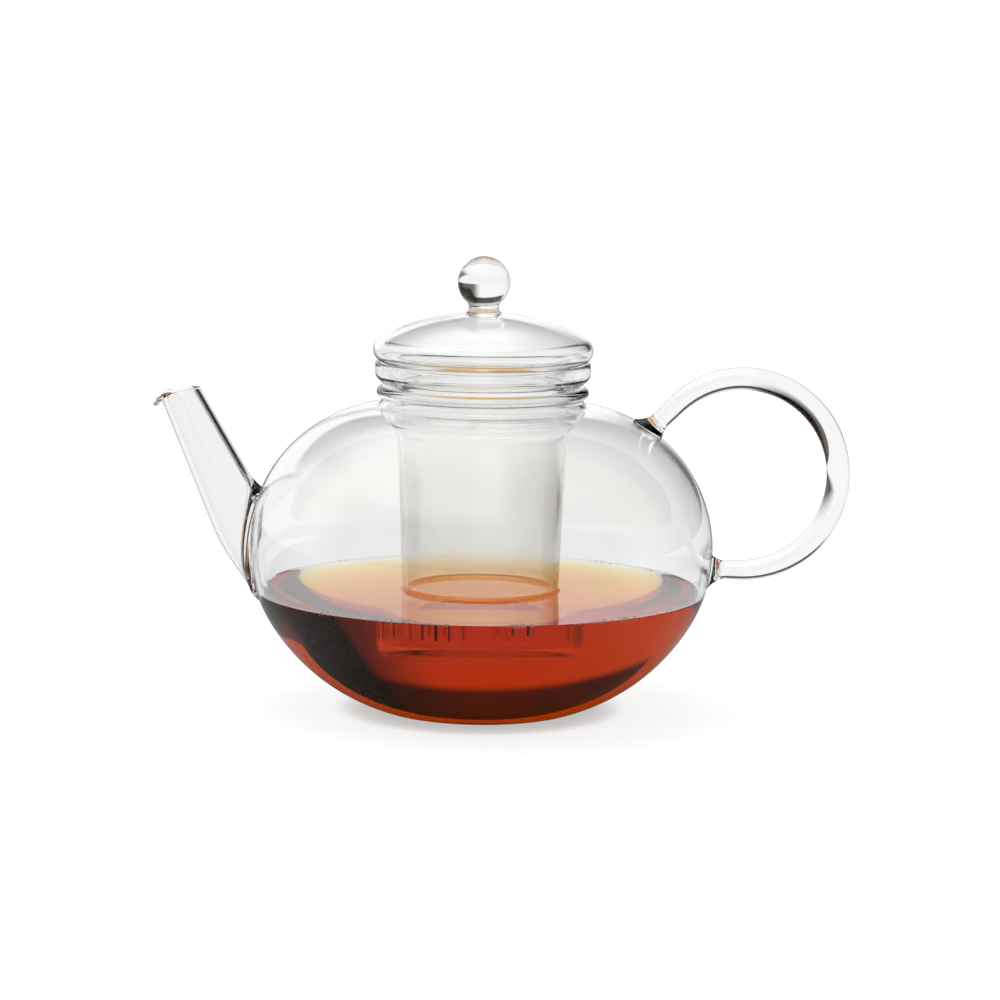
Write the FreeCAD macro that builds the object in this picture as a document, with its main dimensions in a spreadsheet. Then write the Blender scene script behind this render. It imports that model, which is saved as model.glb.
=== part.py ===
import FreeCAD, Part

import math
import os
import re

import Sketcher

# Glass teapot with a lift-out glass infuser and a loose lid. Millimetres and degrees, +Z up.
# The origin is the centre of the foot on the table; the spout points to -X and the handle to +X.

SIZES = {
    # pot: a blown bulb turned from two arcs, with a short neck and a rolled rim
    "belly_radius": 90.2,
    "belly_height": 63.6,
    "shoulder_arc": 55.8,
    "bowl_angle": 31.0,
    "foot_fillet": 20.0,
    "foot_radius": 33.7,
    "foot_ring": 10.0,
    "punt_depth": 1.2,
    "pot_wall": 2.2,
    "pot_floor": 3.0,
    "neck_bore": 36.9,
    "neck_fillet": 2.4,
    "neck_length": 0.8,
    "rim_bead": 2.1,
    # infuser: a tapered cup that hangs in the neck by a flared collar
    "infuser_wall": 2.0,
    "infuser_fit": 0.5,
    "seat_gap": 0.3,
    "seat_angle": 45.0,
    "cup_depth": 88.3,
    "cup_corner": 4.0,
    "cup_lean": 2.2,
    "collar_depth": 17.3,
    "collar_step": 3.7,
    "collar_arc": 6.0,
    "flange_reach": 4.8,
    "flange_arc": 3.2,
    "flange_length": 3.4,
    "slit_count": 40,
    "slit_width": 0.8,
    "slit_lift": 3.0,
    "slit_length": 9.0,
    # lid: a low hollow dome with a skirt that drops into the infuser's collar
    "lid_overhang": 0.9,
    "lid_edge_arc": 5.2,
    "crown_radius": 85.0,
    "lid_wall": 2.0,
    "skirt_gap": 0.8,
    "skirt_depth": 7.5,
    "skirt_fillet": 1.5,
    # knob: a solid ball on a waisted stem
    "ball_radius": 10.1,
    "ball_rise": 11.6,
    "stem_radius": 5.8,
    "stem_fillet": 2.8,
    # spout: a cone, straight from its pouring lip and bent into the pot; its tip is placed from the belly
    "spout_reach": 26.9,
    "spout_rise": 58.75,
    "spout_lean": 25.9,
    "spout_straight": 52.0,
    "spout_bend": 60.0,
    "spout_tip_radius": 7.7,
    "spout_root_radius": 11.9,
    "spout_wall": 1.8,
    "spout_tilt": 14.0,
    "lip_reach": 3.2,
    "lip_length": 4.0,
    # handle: a drawn rod, thick in the grip and thin near the pot; its loop is placed from the belly
    "handle_reach": 10.8,
    "handle_rise": 29.6,
    "handle_loop": 37.5,
    "handle_turn": 226.0,
    "grip_radius": 4.5,
    "thin_radius": 3.3,
    "pad_radius": 6.2,
    "pad_length": 6.0,
}

SHEET = "Sizes"
AXIS_Y = FreeCAD.Vector(0, 1, 0)

# Places that several pieces share, as formulas on the sizes
BOWL_ARC = ("(shoulder_arc + ((belly_radius - shoulder_arc - foot_radius) ^ 2"
            " + (belly_height - foot_fillet) ^ 2 - (shoulder_arc - foot_fillet) ^ 2)"
            " / 2 / (shoulder_arc - foot_fillet - (belly_height - foot_fillet) * sin(bowl_angle * 1 deg)"
            " + (belly_radius - shoulder_arc - foot_radius) * cos(bowl_angle * 1 deg)))")
NECK_UP = ("(belly_height + sqrt((shoulder_arc + neck_fillet) ^ 2"
           " - (neck_bore + pot_wall + neck_fillet - belly_radius + shoulder_arc) ^ 2))")
BEAD_UP = f"({NECK_UP} + neck_length + sqrt(rim_bead ^ 2 - (pot_wall - rim_bead) ^ 2))"
EDGE_UP = (f"({BEAD_UP} + ((flange_reach - flange_arc - rim_bead) * sin(seat_angle * 1 deg)"
           " + rim_bead + seat_gap + flange_arc) / cos(seat_angle * 1 deg))")
BULGE_UP = (f"({EDGE_UP} + flange_length + sqrt((lid_edge_arc + infuser_wall / 2 + seat_gap) ^ 2"
            " - (lid_edge_arc - lid_overhang - infuser_wall / 2) ^ 2))")
CROWN_UP = (f"({BULGE_UP} - sqrt((crown_radius - lid_edge_arc) ^ 2"
            " - (neck_bore + flange_reach + lid_overhang - lid_edge_arc) ^ 2))")

# How many rings the lofts pass through, how far the spout's root runs on inside the pot
# in root radii, and where the handle's loop begins
SPOUT_STEPS = 9
SPOUT_SINK = 2.7
ROD_STEPS = 16
PAD_STEPS = 3
FOOT_ANGLE = -90

doc = FreeCAD.newDocument("teapot")


def make_sheet():
    """The spreadsheet of driving sizes, one alias to a row."""
    sheet = doc.addObject("Spreadsheet::Sheet", SHEET)
    for row, (alias, value) in enumerate(SIZES.items(), start=1):
        sheet.set(f"A{row}", alias.replace("_", " "))
        sheet.set(f"B{row}", str(value))
        sheet.setAlias(f"B{row}", alias)
    doc.recompute()
    return sheet


def bound(formula):
    """A formula on bare aliases, turned into an expression on the sheet."""
    return re.sub(r"[a-z_]+", lambda m: f"{SHEET}.{m[0]}" if m[0] in SIZES else m[0], formula)


def sin(angle):
    return math.sin(math.radians(angle))


def cos(angle):
    return math.cos(math.radians(angle))


def angle_to(start, end):
    """The direction from one point of the section to another, in degrees."""
    return math.degrees(math.atan2(end[1] - start[1], end[0] - start[0]))


def leg(slant, side):
    """The other short side of a right triangle."""
    return math.sqrt(slant**2 - side**2)


def origin_part(body, role):
    """One plane or axis of a body's own origin."""
    return next(part for part in body.Origin.OriginFeatures if part.Role == role)


def flat_sketch(body, name, plane):
    sketch = body.newObject("Sketcher::SketchObject", name)
    sketch.AttachmentSupport = (origin_part(body, plane), [""])
    sketch.MapMode = "FlatFace"
    return sketch


def meeting(apart, radius, other):
    """The angle at a circle's centre between the other centre and a point where the circles meet."""
    return math.degrees(math.acos((apart**2 + radius**2 - other**2) / (2 * apart * radius)))


class Section:
    """Half of a turned piece: a closed outline in the XZ plane, drawn pencil-down from its first point.

    Every piece of the outline is a line or an arc. A smooth piece runs on from the last one
    in the same direction; any other only starts where the last one ends.
    """

    START, END, CENTRE = range(1, 4)
    UPRIGHT_AXIS, ORIGIN = range(-2, 0)

    def __init__(self, name, point, body=None):
        self.feature = "Groove" if body else "Revolution"
        self.body = body or doc.addObject("PartDesign::Body", name)
        self.sketch = flat_sketch(self.body, f"{name}_section", "XZ_Plane")
        self.first = point
        self.point = point
        self.ends = []

    def rule(self, *terms):
        return self.sketch.addConstraint(Sketcher.Constraint(*terms))

    def follow(self, piece, entry, leave, smooth):
        """Ties a new piece to the one before it."""
        if self.ends:
            last, _, last_leave = self.ends[-1]
            self.rule("Tangent" if smooth else "Coincident", last, last_leave, piece, entry)
        self.ends.append((piece, entry, leave))
        return piece

    def line(self, x, y, smooth=False):
        start = FreeCAD.Vector(*self.point, 0)
        piece = self.sketch.addGeometry(Part.LineSegment(start, FreeCAD.Vector(x, y, 0)))
        self.point = (x, y)
        return self.follow(piece, self.START, self.END, smooth)

    def arc(self, centre, radius, to_angle, smooth=True, left=True):
        """An arc about a centre, turning left or right until it stands at an angle."""
        turn = (to_angle - angle_to(centre, self.point)) % 360 if left else -(
            (angle_to(centre, self.point) - to_angle) % 360)
        begin = angle_to(centre, self.point)
        span = sorted((math.radians(begin), math.radians(begin + turn)))
        circle = Part.Circle(FreeCAD.Vector(*centre, 0), FreeCAD.Vector(0, 0, 1), radius)
        piece = self.sketch.addGeometry(Part.ArcOfCircle(circle, *span))
        self.point = (centre[0] + radius * cos(to_angle), centre[1] + radius * sin(to_angle))
        entry, leave = (self.START, self.END) if left else (self.END, self.START)
        return self.follow(piece, entry, leave, smooth)

    def flat(self, piece):
        self.rule("Horizontal", piece)

    def upright(self, piece):
        self.rule("Vertical", piece)

    def bind(self, rule, formula):
        name = f"d{rule}"
        self.sketch.renameConstraint(rule, name)
        self.sketch.setExpression(f"Constraints.{name}", bound(formula))

    def radius(self, piece, formula):
        self.bind(self.rule("Radius", piece, self.sketch.Geometry[piece].Radius), formula)

    def tilt(self, piece, formula):
        line = self.sketch.Geometry[piece]
        run = line.EndPoint - line.StartPoint
        self.bind(self.rule("Angle", piece, math.atan2(run.y, run.x)), formula)

    def length(self, piece, formula):
        line = self.sketch.Geometry[piece]
        self.bind(self.rule("Distance", piece, line.length()), formula)

    def across(self, piece, place, formula):
        """The distance of a point from the axis."""
        x = self.sketch.getPoint(piece, place).x
        self.bind(self.rule("DistanceX", self.ORIGIN, self.START, piece, place, x), formula)

    def height(self, piece, place, formula):
        """The height of a point above the table."""
        y = self.sketch.getPoint(piece, place).y
        self.bind(self.rule("DistanceY", self.ORIGIN, self.START, piece, place, y), formula)

    def on_axis(self, piece, place):
        self.rule("PointOnObject", piece, place, self.UPRIGHT_AXIS)

    def close(self):
        """Runs down the axis to the first point, and turns the outline about the axis.

        A section in a new body adds its solid; one in a body that has a solid takes it away.
        """
        self.line(*self.first)
        first, entry, _ = self.ends[0]
        last, _, leave = self.ends[-1]
        self.rule("Coincident", last, leave, first, entry)
        turned = self.body.newObject(f"PartDesign::{self.feature}", f"{self.sketch.Name}_turned")
        turned.Profile = self.sketch
        turned.ReferenceAxis = (self.sketch, ["V_Axis"])
        turned.Angle = 360
        doc.recompute()
        return self.body


sheet = make_sheet()
size = {alias: float(sheet.get(alias)) for alias in SIZES}


def neck_places():
    """The centres of the pot's shoulder, of the fillet under its neck and of its rolled rim."""
    shoulder = (size["belly_radius"] - size["shoulder_arc"], size["belly_height"])
    neck_across = size["neck_bore"] + size["pot_wall"] + size["neck_fillet"]
    neck_up = leg(size["shoulder_arc"] + size["neck_fillet"], neck_across - shoulder[0])
    neck = (neck_across, shoulder[1] + neck_up)
    bead_up = neck[1] + size["neck_length"] + leg(size["rim_bead"], size["pot_wall"] - size["rim_bead"])
    bead = (size["neck_bore"] + size["rim_bead"], bead_up)
    return shoulder, neck, bead


def bowl_place():
    """The centre and radius of the arc under the belly: it runs on from the shoulder's arc at one
    end, and into the fillet round the foot at the other."""
    shoulder, _, _ = neck_places()
    turn, foot_arc = size["bowl_angle"], size["foot_fillet"]
    across = shoulder[0] - size["foot_radius"]
    up = shoulder[1] - foot_arc
    inner = size["shoulder_arc"] - foot_arc
    grown = (across**2 + up**2 - inner**2) / 2 / (inner - up * sin(turn) + across * cos(turn))
    centre = (shoulder[0] - grown * cos(turn), shoulder[1] + grown * sin(turn))
    return centre, size["shoulder_arc"] + grown


def pot_bulb(name, inset, inset_formula):
    """The pot's blank when the inset is nothing, and its hollow when the inset is the wall."""
    hollow = inset > 0
    shoulder, neck, bead = neck_places()
    floor = size["pot_floor"] if hollow else 0
    foot_arc = size["foot_fillet"]
    bowl, bowl_arc = bowl_place()
    foot_up = floor + foot_arc
    foot = (bowl[0] + leg(bowl_arc - inset - foot_arc, foot_up - bowl[1]), foot_up)
    neck_radius = size["neck_bore"] + size["pot_wall"] - inset

    if hollow:
        s = Section(name, (0, floor))
        base = s.line(foot[0], floor)
        s.on_axis(base, s.START)
        s.height(base, s.START, "pot_floor")
    else:
        s = Section(name, (0, size["punt_depth"]))
        punt_across = foot[0] - size["foot_ring"]
        punt_arc = (punt_across**2 + size["punt_depth"] ** 2) / (2 * size["punt_depth"])
        centre = (0, size["punt_depth"] - punt_arc)
        punt = s.arc(centre, punt_arc, angle_to(centre, (punt_across, 0)), left=False)
        s.on_axis(punt, s.CENTRE)
        s.on_axis(punt, s.END)
        s.height(punt, s.END, "punt_depth")
        s.rule("PointOnObject", punt, s.START, s.ORIGIN)
        base = s.line(foot[0], floor)
        s.across(base, s.END, "foot_radius")
        s.length(base, "foot_ring")
    s.flat(base)
    fillet = s.arc(foot, foot_arc, angle_to(bowl, foot))
    s.radius(fillet, "foot_fillet")
    side = s.arc(bowl, bowl_arc - inset, -size["bowl_angle"])
    if hollow:
        s.radius(side, f"{BOWL_ARC} - {inset_formula}")
    s.height(side, s.END, f"belly_height - (shoulder_arc - {inset_formula}) * sin(bowl_angle * 1 deg)")
    top = s.arc(shoulder, size["shoulder_arc"] - inset, angle_to(shoulder, neck))
    s.radius(top, f"shoulder_arc - {inset_formula}")
    s.across(top, s.CENTRE, "belly_radius - shoulder_arc")
    s.height(top, s.CENTRE, "belly_height")
    curl = s.arc(neck, size["neck_fillet"] + inset, 180, left=False)
    s.radius(curl, f"neck_fillet + {inset_formula}")
    if hollow:
        bore = s.line(neck_radius, bead[1], smooth=True)
        rim = s.arc(bead, size["rim_bead"], 90, left=False)
        s.height(rim, s.CENTRE, BEAD_UP)
    else:
        bore = s.line(neck_radius, neck[1] + size["neck_length"], smooth=True)
        s.length(bore, "neck_length")
        rim = s.arc(bead, size["rim_bead"], 90, smooth=False)
        s.across(rim, s.CENTRE, "neck_bore + rim_bead")
    s.upright(bore)
    s.across(bore, s.END, f"neck_bore + pot_wall - {inset_formula}")
    s.radius(rim, "rim_bead")
    mouth = s.line(0, bead[1] + size["rim_bead"], smooth=True)
    s.flat(mouth)
    s.on_axis(mouth, s.END)
    return s.close()


def flange_places():
    """The centres of the infuser's seat on the pot's rim, of the bend above it and of its own rim."""
    _, _, bead = neck_places()
    slope = size["seat_angle"]
    seat_rise = size["seat_gap"] - size["infuser_fit"] * sin(slope)
    seat = (bead[0] - size["infuser_fit"], bead[1] + seat_rise / cos(slope))
    flange_radius = size["neck_bore"] + size["flange_reach"]
    edge_across = flange_radius - size["flange_arc"]
    stand = size["rim_bead"] + size["seat_gap"] + size["flange_arc"]
    edge = (edge_across, bead[1] + ((edge_across - bead[0]) * sin(slope) + stand) / cos(slope))
    rim = (flange_radius - size["infuser_wall"] / 2, edge[1] + size["flange_length"])
    return seat, edge, rim


def cup(name, inset, inset_formula, body=None):
    """The infuser's blank when the inset is nothing, and its hollow when the inset is the wall."""
    lean, slope, arc = size["cup_lean"], size["seat_angle"], size["collar_arc"]
    _, _, bead = neck_places()
    seat, edge, rim = flange_places()
    collar_radius = size["neck_bore"] - size["infuser_fit"]
    cup_radius = collar_radius - size["collar_step"]
    side_top = (cup_radius - inset * cos(lean), bead[1] - size["collar_depth"] + inset * sin(lean))
    base_up = bead[1] - size["cup_depth"] + inset
    corner_arc = size["cup_corner"] - inset
    corner_up = base_up + corner_arc
    side_fall = side_top[1] - corner_up + corner_arc * sin(lean)
    corner = (side_top[0] - side_fall * sin(lean) / cos(lean) - corner_arc * cos(lean), corner_up)
    swell = (cup_radius + arc * cos(lean), bead[1] - size["collar_depth"] - arc * sin(lean))
    ease_across = collar_radius - arc
    ease = (ease_across, swell[1] + leg(2 * arc, ease_across - swell[0]))
    flange_arc = size["flange_arc"] - inset

    s = Section(name, (0, base_up), body)
    base = s.line(corner[0], base_up)
    s.flat(base)
    s.on_axis(base, s.START)
    s.height(base, s.START, f"{BEAD_UP} - cup_depth + {inset_formula}")
    bend = s.arc(corner, corner_arc, -lean)
    s.radius(bend, f"cup_corner - {inset_formula}")
    side = s.line(*side_top, smooth=True)
    s.tilt(side, "90 - cup_lean")
    s.across(side, s.END, f"neck_bore - infuser_fit - collar_step - {inset_formula} * cos(cup_lean * 1 deg)")
    s.height(side, s.END, f"{BEAD_UP} - collar_depth + {inset_formula} * sin(cup_lean * 1 deg)")
    out = s.arc(swell, arc + inset, angle_to(swell, ease), left=False)
    s.radius(out, f"collar_arc + {inset_formula}")
    back = s.arc(ease, arc - inset, 0)
    s.radius(back, f"collar_arc - {inset_formula}")
    collar = s.line(collar_radius - inset, seat[1], smooth=True)
    s.upright(collar)
    s.across(collar, s.END, f"neck_bore - infuser_fit - {inset_formula}")
    flare = s.arc(seat, size["rim_bead"] + inset, 90 + slope, left=False)
    s.radius(flare, f"rim_bead + {inset_formula}")
    cone = s.line(edge[0] + flange_arc * sin(slope), edge[1] - flange_arc * cos(slope), smooth=True)
    s.tilt(cone, "seat_angle")
    turn = s.arc(edge, flange_arc, 0)
    s.radius(turn, f"flange_arc - {inset_formula}")
    s.height(turn, s.CENTRE, EDGE_UP)
    flange = s.line(edge[0] + flange_arc, rim[1], smooth=True)
    s.upright(flange)
    s.across(flange, s.END, f"neck_bore + flange_reach - {inset_formula}")
    s.length(flange, "flange_length")
    lip = s.arc(rim, size["infuser_wall"] / 2, 90, left=inset == 0)
    s.radius(lip, "infuser_wall / 2")
    mouth = s.line(0, rim[1] + size["infuser_wall"] / 2, smooth=True)
    s.flat(mouth)
    s.on_axis(mouth, s.END)
    return s.close()


def lid_places():
    """The centres of the lid's rolled edge, which rests on the infuser's rim, and of its crown."""
    _, _, rim = flange_places()
    apart = size["lid_edge_arc"] + size["infuser_wall"] / 2 + size["seat_gap"]
    bulge_across = size["neck_bore"] + size["flange_reach"] + size["lid_overhang"] - size["lid_edge_arc"]
    bulge = (bulge_across, rim[1] + leg(apart, rim[0] - bulge_across))
    crown = (0, bulge[1] - leg(size["crown_radius"] - size["lid_edge_arc"], bulge_across))
    return bulge, crown


def lid(name, inset, inset_formula, body=None):
    """The lid's blank when the inset is nothing, and its hollow when the inset is the wall."""
    half = size["lid_wall"] / 2
    bulge, crown = lid_places()
    under = bulge[1] - size["lid_edge_arc"]
    skirt_radius = size["neck_bore"] - size["infuser_fit"] - size["infuser_wall"] - size["skirt_gap"]
    low = under - size["skirt_depth"]
    fillet = size["skirt_fillet"]

    s = Section(name, (0, low), body)
    base = s.line(skirt_radius - half, low)
    s.flat(base)
    s.on_axis(base, s.START)
    s.height(base, s.START, f"{BULGE_UP} - lid_edge_arc - skirt_depth")
    rim = s.arc((skirt_radius - half, low + half), half, 180 if inset else 0, left=inset == 0)
    s.radius(rim, "lid_wall / 2")
    skirt = s.line(skirt_radius - inset, under - fillet, smooth=True)
    s.upright(skirt)
    s.across(skirt, s.END, f"neck_bore - infuser_fit - infuser_wall - skirt_gap - {inset_formula}")
    turn = s.arc((skirt_radius + fillet, under - fillet), fillet + inset, 90, left=False)
    s.radius(turn, f"skirt_fillet + {inset_formula}")
    seat = s.line(bulge[0], under + inset, smooth=True)
    s.flat(seat)
    edge = s.arc(bulge, size["lid_edge_arc"] - inset, angle_to(crown, bulge))
    s.radius(edge, f"lid_edge_arc - {inset_formula}")
    s.across(edge, s.CENTRE, "neck_bore + flange_reach + lid_overhang - lid_edge_arc")
    s.height(edge, s.CENTRE, BULGE_UP)
    dome = s.arc(crown, size["crown_radius"] - inset, 90)
    s.radius(dome, f"crown_radius - {inset_formula}")
    s.on_axis(dome, s.CENTRE)
    s.on_axis(dome, s.END)
    return s.close()


def knob_ball(name):
    """A solid ball on a waisted stem, with a foot that follows the lid's crown."""
    _, crown = lid_places()
    crown_top = crown[1] + size["crown_radius"]
    ball = (0, crown_top + size["ball_rise"])
    waist_across = size["stem_radius"] + size["stem_fillet"]
    waist = (waist_across, ball[1] - leg(size["ball_radius"] + size["stem_fillet"], waist_across))
    apart = math.hypot(waist[0] - crown[0], waist[1] - crown[1])
    curl = size["stem_fillet"]
    foot_angle = angle_to(waist, crown) - meeting(apart, curl, size["crown_radius"])
    foot = (waist[0] + curl * cos(foot_angle), waist[1] + curl * sin(foot_angle))

    s = Section(name, (0, crown_top))
    sole = s.arc(crown, size["crown_radius"], angle_to(crown, foot), left=False)
    s.radius(sole, "crown_radius")
    s.on_axis(sole, s.CENTRE)
    s.on_axis(sole, s.END)
    s.height(sole, s.END, f"{CROWN_UP} + crown_radius")
    stem = s.arc(waist, size["stem_fillet"], angle_to(waist, ball), smooth=False, left=False)
    s.radius(stem, "stem_fillet")
    s.across(stem, s.CENTRE, "stem_radius + stem_fillet")
    round_top = s.arc(ball, size["ball_radius"], 90)
    s.radius(round_top, "ball_radius")
    s.on_axis(round_top, s.CENTRE)
    s.on_axis(round_top, s.END)
    s.height(round_top, s.CENTRE, f"{CROWN_UP} + crown_radius + ball_rise")
    return s.close()


def cut(name, base, tool):
    """One object cut by another, as a named piece."""
    piece = doc.addObject("Part::Cut", name)
    piece.Base = base
    piece.Tool = tool
    doc.recompute()
    return piece


def cut_slits(body):
    """One rounded upright slit through the wall at +X, repeated around the cup."""
    _, _, bead = neck_places()
    half = size["slit_width"] / 2
    low = bead[1] - size["cup_depth"] + size["slit_lift"] + half
    high = low + size["slit_length"] - size["slit_width"]
    sketch = flat_sketch(body, "slit_section", "YZ_Plane")
    sketch.setExpression("AttachmentOffset.Base.z", bound("neck_bore / 2"))
    across = FreeCAD.Vector(0, 0, 1)
    arcs = []
    for up, begin in ((high, 0), (low, math.pi)):
        circle = Part.Circle(FreeCAD.Vector(0, up, 0), across, half)
        arcs.append(sketch.addGeometry(Part.ArcOfCircle(circle, begin, begin + math.pi)))
    top, bottom = arcs
    sides = [sketch.addGeometry(Part.LineSegment(FreeCAD.Vector(x, low, 0), FreeCAD.Vector(x, high, 0)))
             for x in (-half, half)]
    start, end, centre = Section.START, Section.END, Section.CENTRE
    for side, top_end, bottom_end in ((sides[0], end, start), (sides[1], start, end)):
        sketch.addConstraint(Sketcher.Constraint("Tangent", side, end, top, top_end))
        sketch.addConstraint(Sketcher.Constraint("Tangent", side, start, bottom, bottom_end))
    for arc in arcs:
        sketch.addConstraint(Sketcher.Constraint("PointOnObject", arc, centre, Section.UPRIGHT_AXIS))
    lift = f"{BEAD_UP} - cup_depth + slit_lift + slit_width / 2"
    sizes = (
        (("Radius", top, half), "slit_width / 2"),
        (("DistanceY", Section.ORIGIN, start, bottom, centre, low), lift),
        (("DistanceY", bottom, centre, top, centre, high - low), "slit_length - slit_width"),
    )
    for terms, formula in sizes:
        rule = sketch.addConstraint(Sketcher.Constraint(*terms))
        sketch.renameConstraint(rule, f"d{rule}")
        sketch.setExpression(f"Constraints.d{rule}", bound(formula))
    doc.recompute()
    slit = body.newObject("PartDesign::Pocket", "slit")
    slit.Profile = sketch
    slit.Type = "Length"
    slit.setExpression("Length", bound("neck_bore"))
    slit.Reversed = True
    doc.recompute()
    slits = body.newObject("PartDesign::PolarPattern", "slits")
    slits.Originals = [slit]
    slits.Axis = (origin_part(body, "Z_Axis"), [""])
    slits.Angle = 360
    slits.setExpression("Occurrences", bound("slit_count"))
    body.Tip = slits
    doc.recompute()


def ring(name, place, tilt, radius_formula):
    """A circle that faces along a path in the XZ plane, for a loft to pass through."""
    circle = doc.addObject("Part::Circle", name)
    circle.setExpression("Radius", bound(radius_formula))
    centre = FreeCAD.Vector(place[0], 0, place[1])
    circle.Placement = FreeCAD.Placement(centre, FreeCAD.Rotation(AXIS_Y, -tilt))
    return circle


def loft(name, rings):
    solid = doc.addObject("Part::Loft", name)
    solid.Sections = rings
    solid.Solid = True
    solid.Ruled = False
    doc.recompute()
    return solid


def spout_cone(name, inset_formula):
    """A cone from the pot's inside round a bend to the lip; its last ring is the slanted mouth."""
    lean, straight, bend = size["spout_lean"], size["spout_straight"], size["spout_bend"]
    shoulder, _, _ = neck_places()
    wall = (-shoulder[0], shoulder[1])
    tip = (-size["belly_radius"] - size["spout_reach"], size["belly_height"] + size["spout_rise"])
    middle = (tip[0] + straight * sin(lean) + bend * cos(lean),
              tip[1] - straight * cos(lean) + bend * sin(lean))
    apart = math.hypot(middle[0] - wall[0], middle[1] - wall[1])
    wall_angle = angle_to(wall, middle) - meeting(apart, bend, size["shoulder_arc"])
    wall_run = straight + bend * math.radians(wall_angle - lean)
    last_run = wall_run + SPOUT_SINK * size["spout_root_radius"]
    rings = []
    for step in range(SPOUT_STEPS, -1, -1):
        run = size["lip_length"] + (last_run - size["lip_length"]) * step / SPOUT_STEPS
        tilt = lean + math.degrees(max(run - straight, 0) / bend)
        over = max(straight - run, 0)
        place = (middle[0] - bend * cos(tilt) - over * sin(tilt),
                 middle[1] - bend * sin(tilt) + over * cos(tilt))
        grown = f"spout_tip_radius + (spout_root_radius - spout_tip_radius) * {run / wall_run}"
        rings.append(ring(f"{name}_ring_{step}", place, tilt, f"{grown} - {inset_formula}"))
    tilt = size["spout_tilt"]
    shift = size["lip_reach"] / 2
    mouth = doc.addObject("Part::Ellipse", f"{name}_mouth")
    widest = "spout_tip_radius / cos((spout_lean - spout_tilt) * 1 deg)"
    mouth.setExpression("MajorRadius", bound(f"{widest} + lip_reach / 2 - {inset_formula}"))
    mouth.setExpression("MinorRadius", bound(f"spout_tip_radius - {inset_formula}"))
    centre = FreeCAD.Vector(tip[0] - shift * cos(tilt), 0, tip[1] - shift * sin(tilt))
    mouth.Placement = FreeCAD.Placement(centre, FreeCAD.Rotation(AXIS_Y, -tilt))
    return loft(name, rings + [mouth])


def handle_rod(name):
    """A round rod: straight out of the belly, round a loop, and straight down into the shoulder.

    It swells from both ends to the grip, and spreads to a pad where it is sealed to the wall.
    """
    loop, pad = size["handle_loop"], size["pad_length"]
    shoulder, _, _ = neck_places()
    middle = (size["belly_radius"] + size["handle_reach"], size["belly_height"] + size["handle_rise"])
    foot_up = middle[1] - loop
    foot_wall = shoulder[0] + leg(size["shoulder_arc"], foot_up - shoulder[1])
    straight = middle[0] - foot_wall
    bent = straight + loop * math.radians(size["handle_turn"])
    top_angle = FOOT_ANGLE + size["handle_turn"]
    top = (middle[0] + loop * cos(top_angle), middle[1] + loop * sin(top_angle))
    from_shoulder = (top[0] - shoulder[0], top[1] - shoulder[1])
    ahead = from_shoulder[0] * sin(top_angle) - from_shoulder[1] * cos(top_angle)
    aside = from_shoulder[0] * cos(top_angle) + from_shoulder[1] * sin(top_angle)
    length = bent + ahead - leg(size["shoulder_arc"], aside)

    def rod_ring(number, run, radius_formula):
        """A ring at a distance along the rod from the wall at its foot."""
        turn = FOOT_ANGLE + math.degrees((min(max(run, straight), bent) - straight) / loop)
        over = min(run - straight, 0) + max(run - bent, 0)
        across = middle[0] + loop * cos(turn) - over * sin(turn)
        up = middle[1] + loop * sin(turn) + over * cos(turn)
        return ring(f"{name}_ring_{number}", (across, up), turn, radius_formula)

    stations = []
    for step in range(-1, PAD_STEPS):
        spread = f"thin_radius + (pad_radius - thin_radius) * {(1 - step / PAD_STEPS) ** 2}"
        stations.append((pad * step / PAD_STEPS, spread))
        stations.append((length - pad * step / PAD_STEPS, spread))
    for step in range(ROD_STEPS + 1):
        share = step / ROD_STEPS
        swell = f"thin_radius + (grip_radius - thin_radius) * {1 - (2 * share - 1) ** 4}"
        stations.append((pad + (length - 2 * pad) * share, swell))
    rings = [rod_ring(number, *station) for number, station in enumerate(sorted(stations))]
    return loft(name, rings)


pot_blank = pot_bulb("pot_blank", 0, "0")
pot_hollow = pot_bulb("pot_hollow", size["pot_wall"], "pot_wall")
spout_outside = spout_cone("spout_outside", "0")
spout_bore = spout_cone("spout_bore", "spout_wall")
handle_solid = handle_rod("handle_rod")

infuser = cup("infuser", 0, "0")
cup("infuser_hollow", size["infuser_wall"], "infuser_wall", infuser)
cut_slits(infuser)
lid_dome = lid("lid_dome", 0, "0")
lid("lid_hollow", size["lid_wall"], "lid_wall", lid_dome)

PIECES = {
    "pot_body": cut("pot_body", cut("pot_shell", pot_blank, pot_hollow), spout_bore),
    "spout": cut("spout", cut("spout_tube", spout_outside, spout_bore), pot_blank),
    "handle": cut("handle", handle_solid, pot_blank),
    "infuser": infuser,
    "lid_dome": lid_dome,
    "lid_knob": knob_ball("lid_knob"),
}


def write_pieces():
    """Checks every object of the document, then writes each piece under its own name."""
    for thing in doc.Objects:
        if {"Invalid", "Error"} & set(thing.State):
            raise RuntimeError(f"{thing.Name} did not build: {thing.State}")
    os.makedirs("parts", exist_ok=True)
    for label, piece in PIECES.items():
        piece.Label = label
        if piece.Shape.isNull() or not piece.Shape.isValid() or len(piece.Shape.Solids) != 1:
            raise RuntimeError(f"{label} is not one valid solid")
        piece.Shape.exportStep(f"parts/{label}.step")


write_pieces()
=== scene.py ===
"""Looks of a glass teapot with a lift-out glass infuser and a loose lid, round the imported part.

Sizes are in millimetres and degrees, as on a glassworker's drawing, and become metres when a
mesh is made. The pot's axis is +Z, the spout points to -X and the handle to +X.
"""
import logging
import math
from collections.abc import Callable
from dataclasses import dataclass
from enum import Enum

import bpy
import numpy as np
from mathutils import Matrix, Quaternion, Vector


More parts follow.
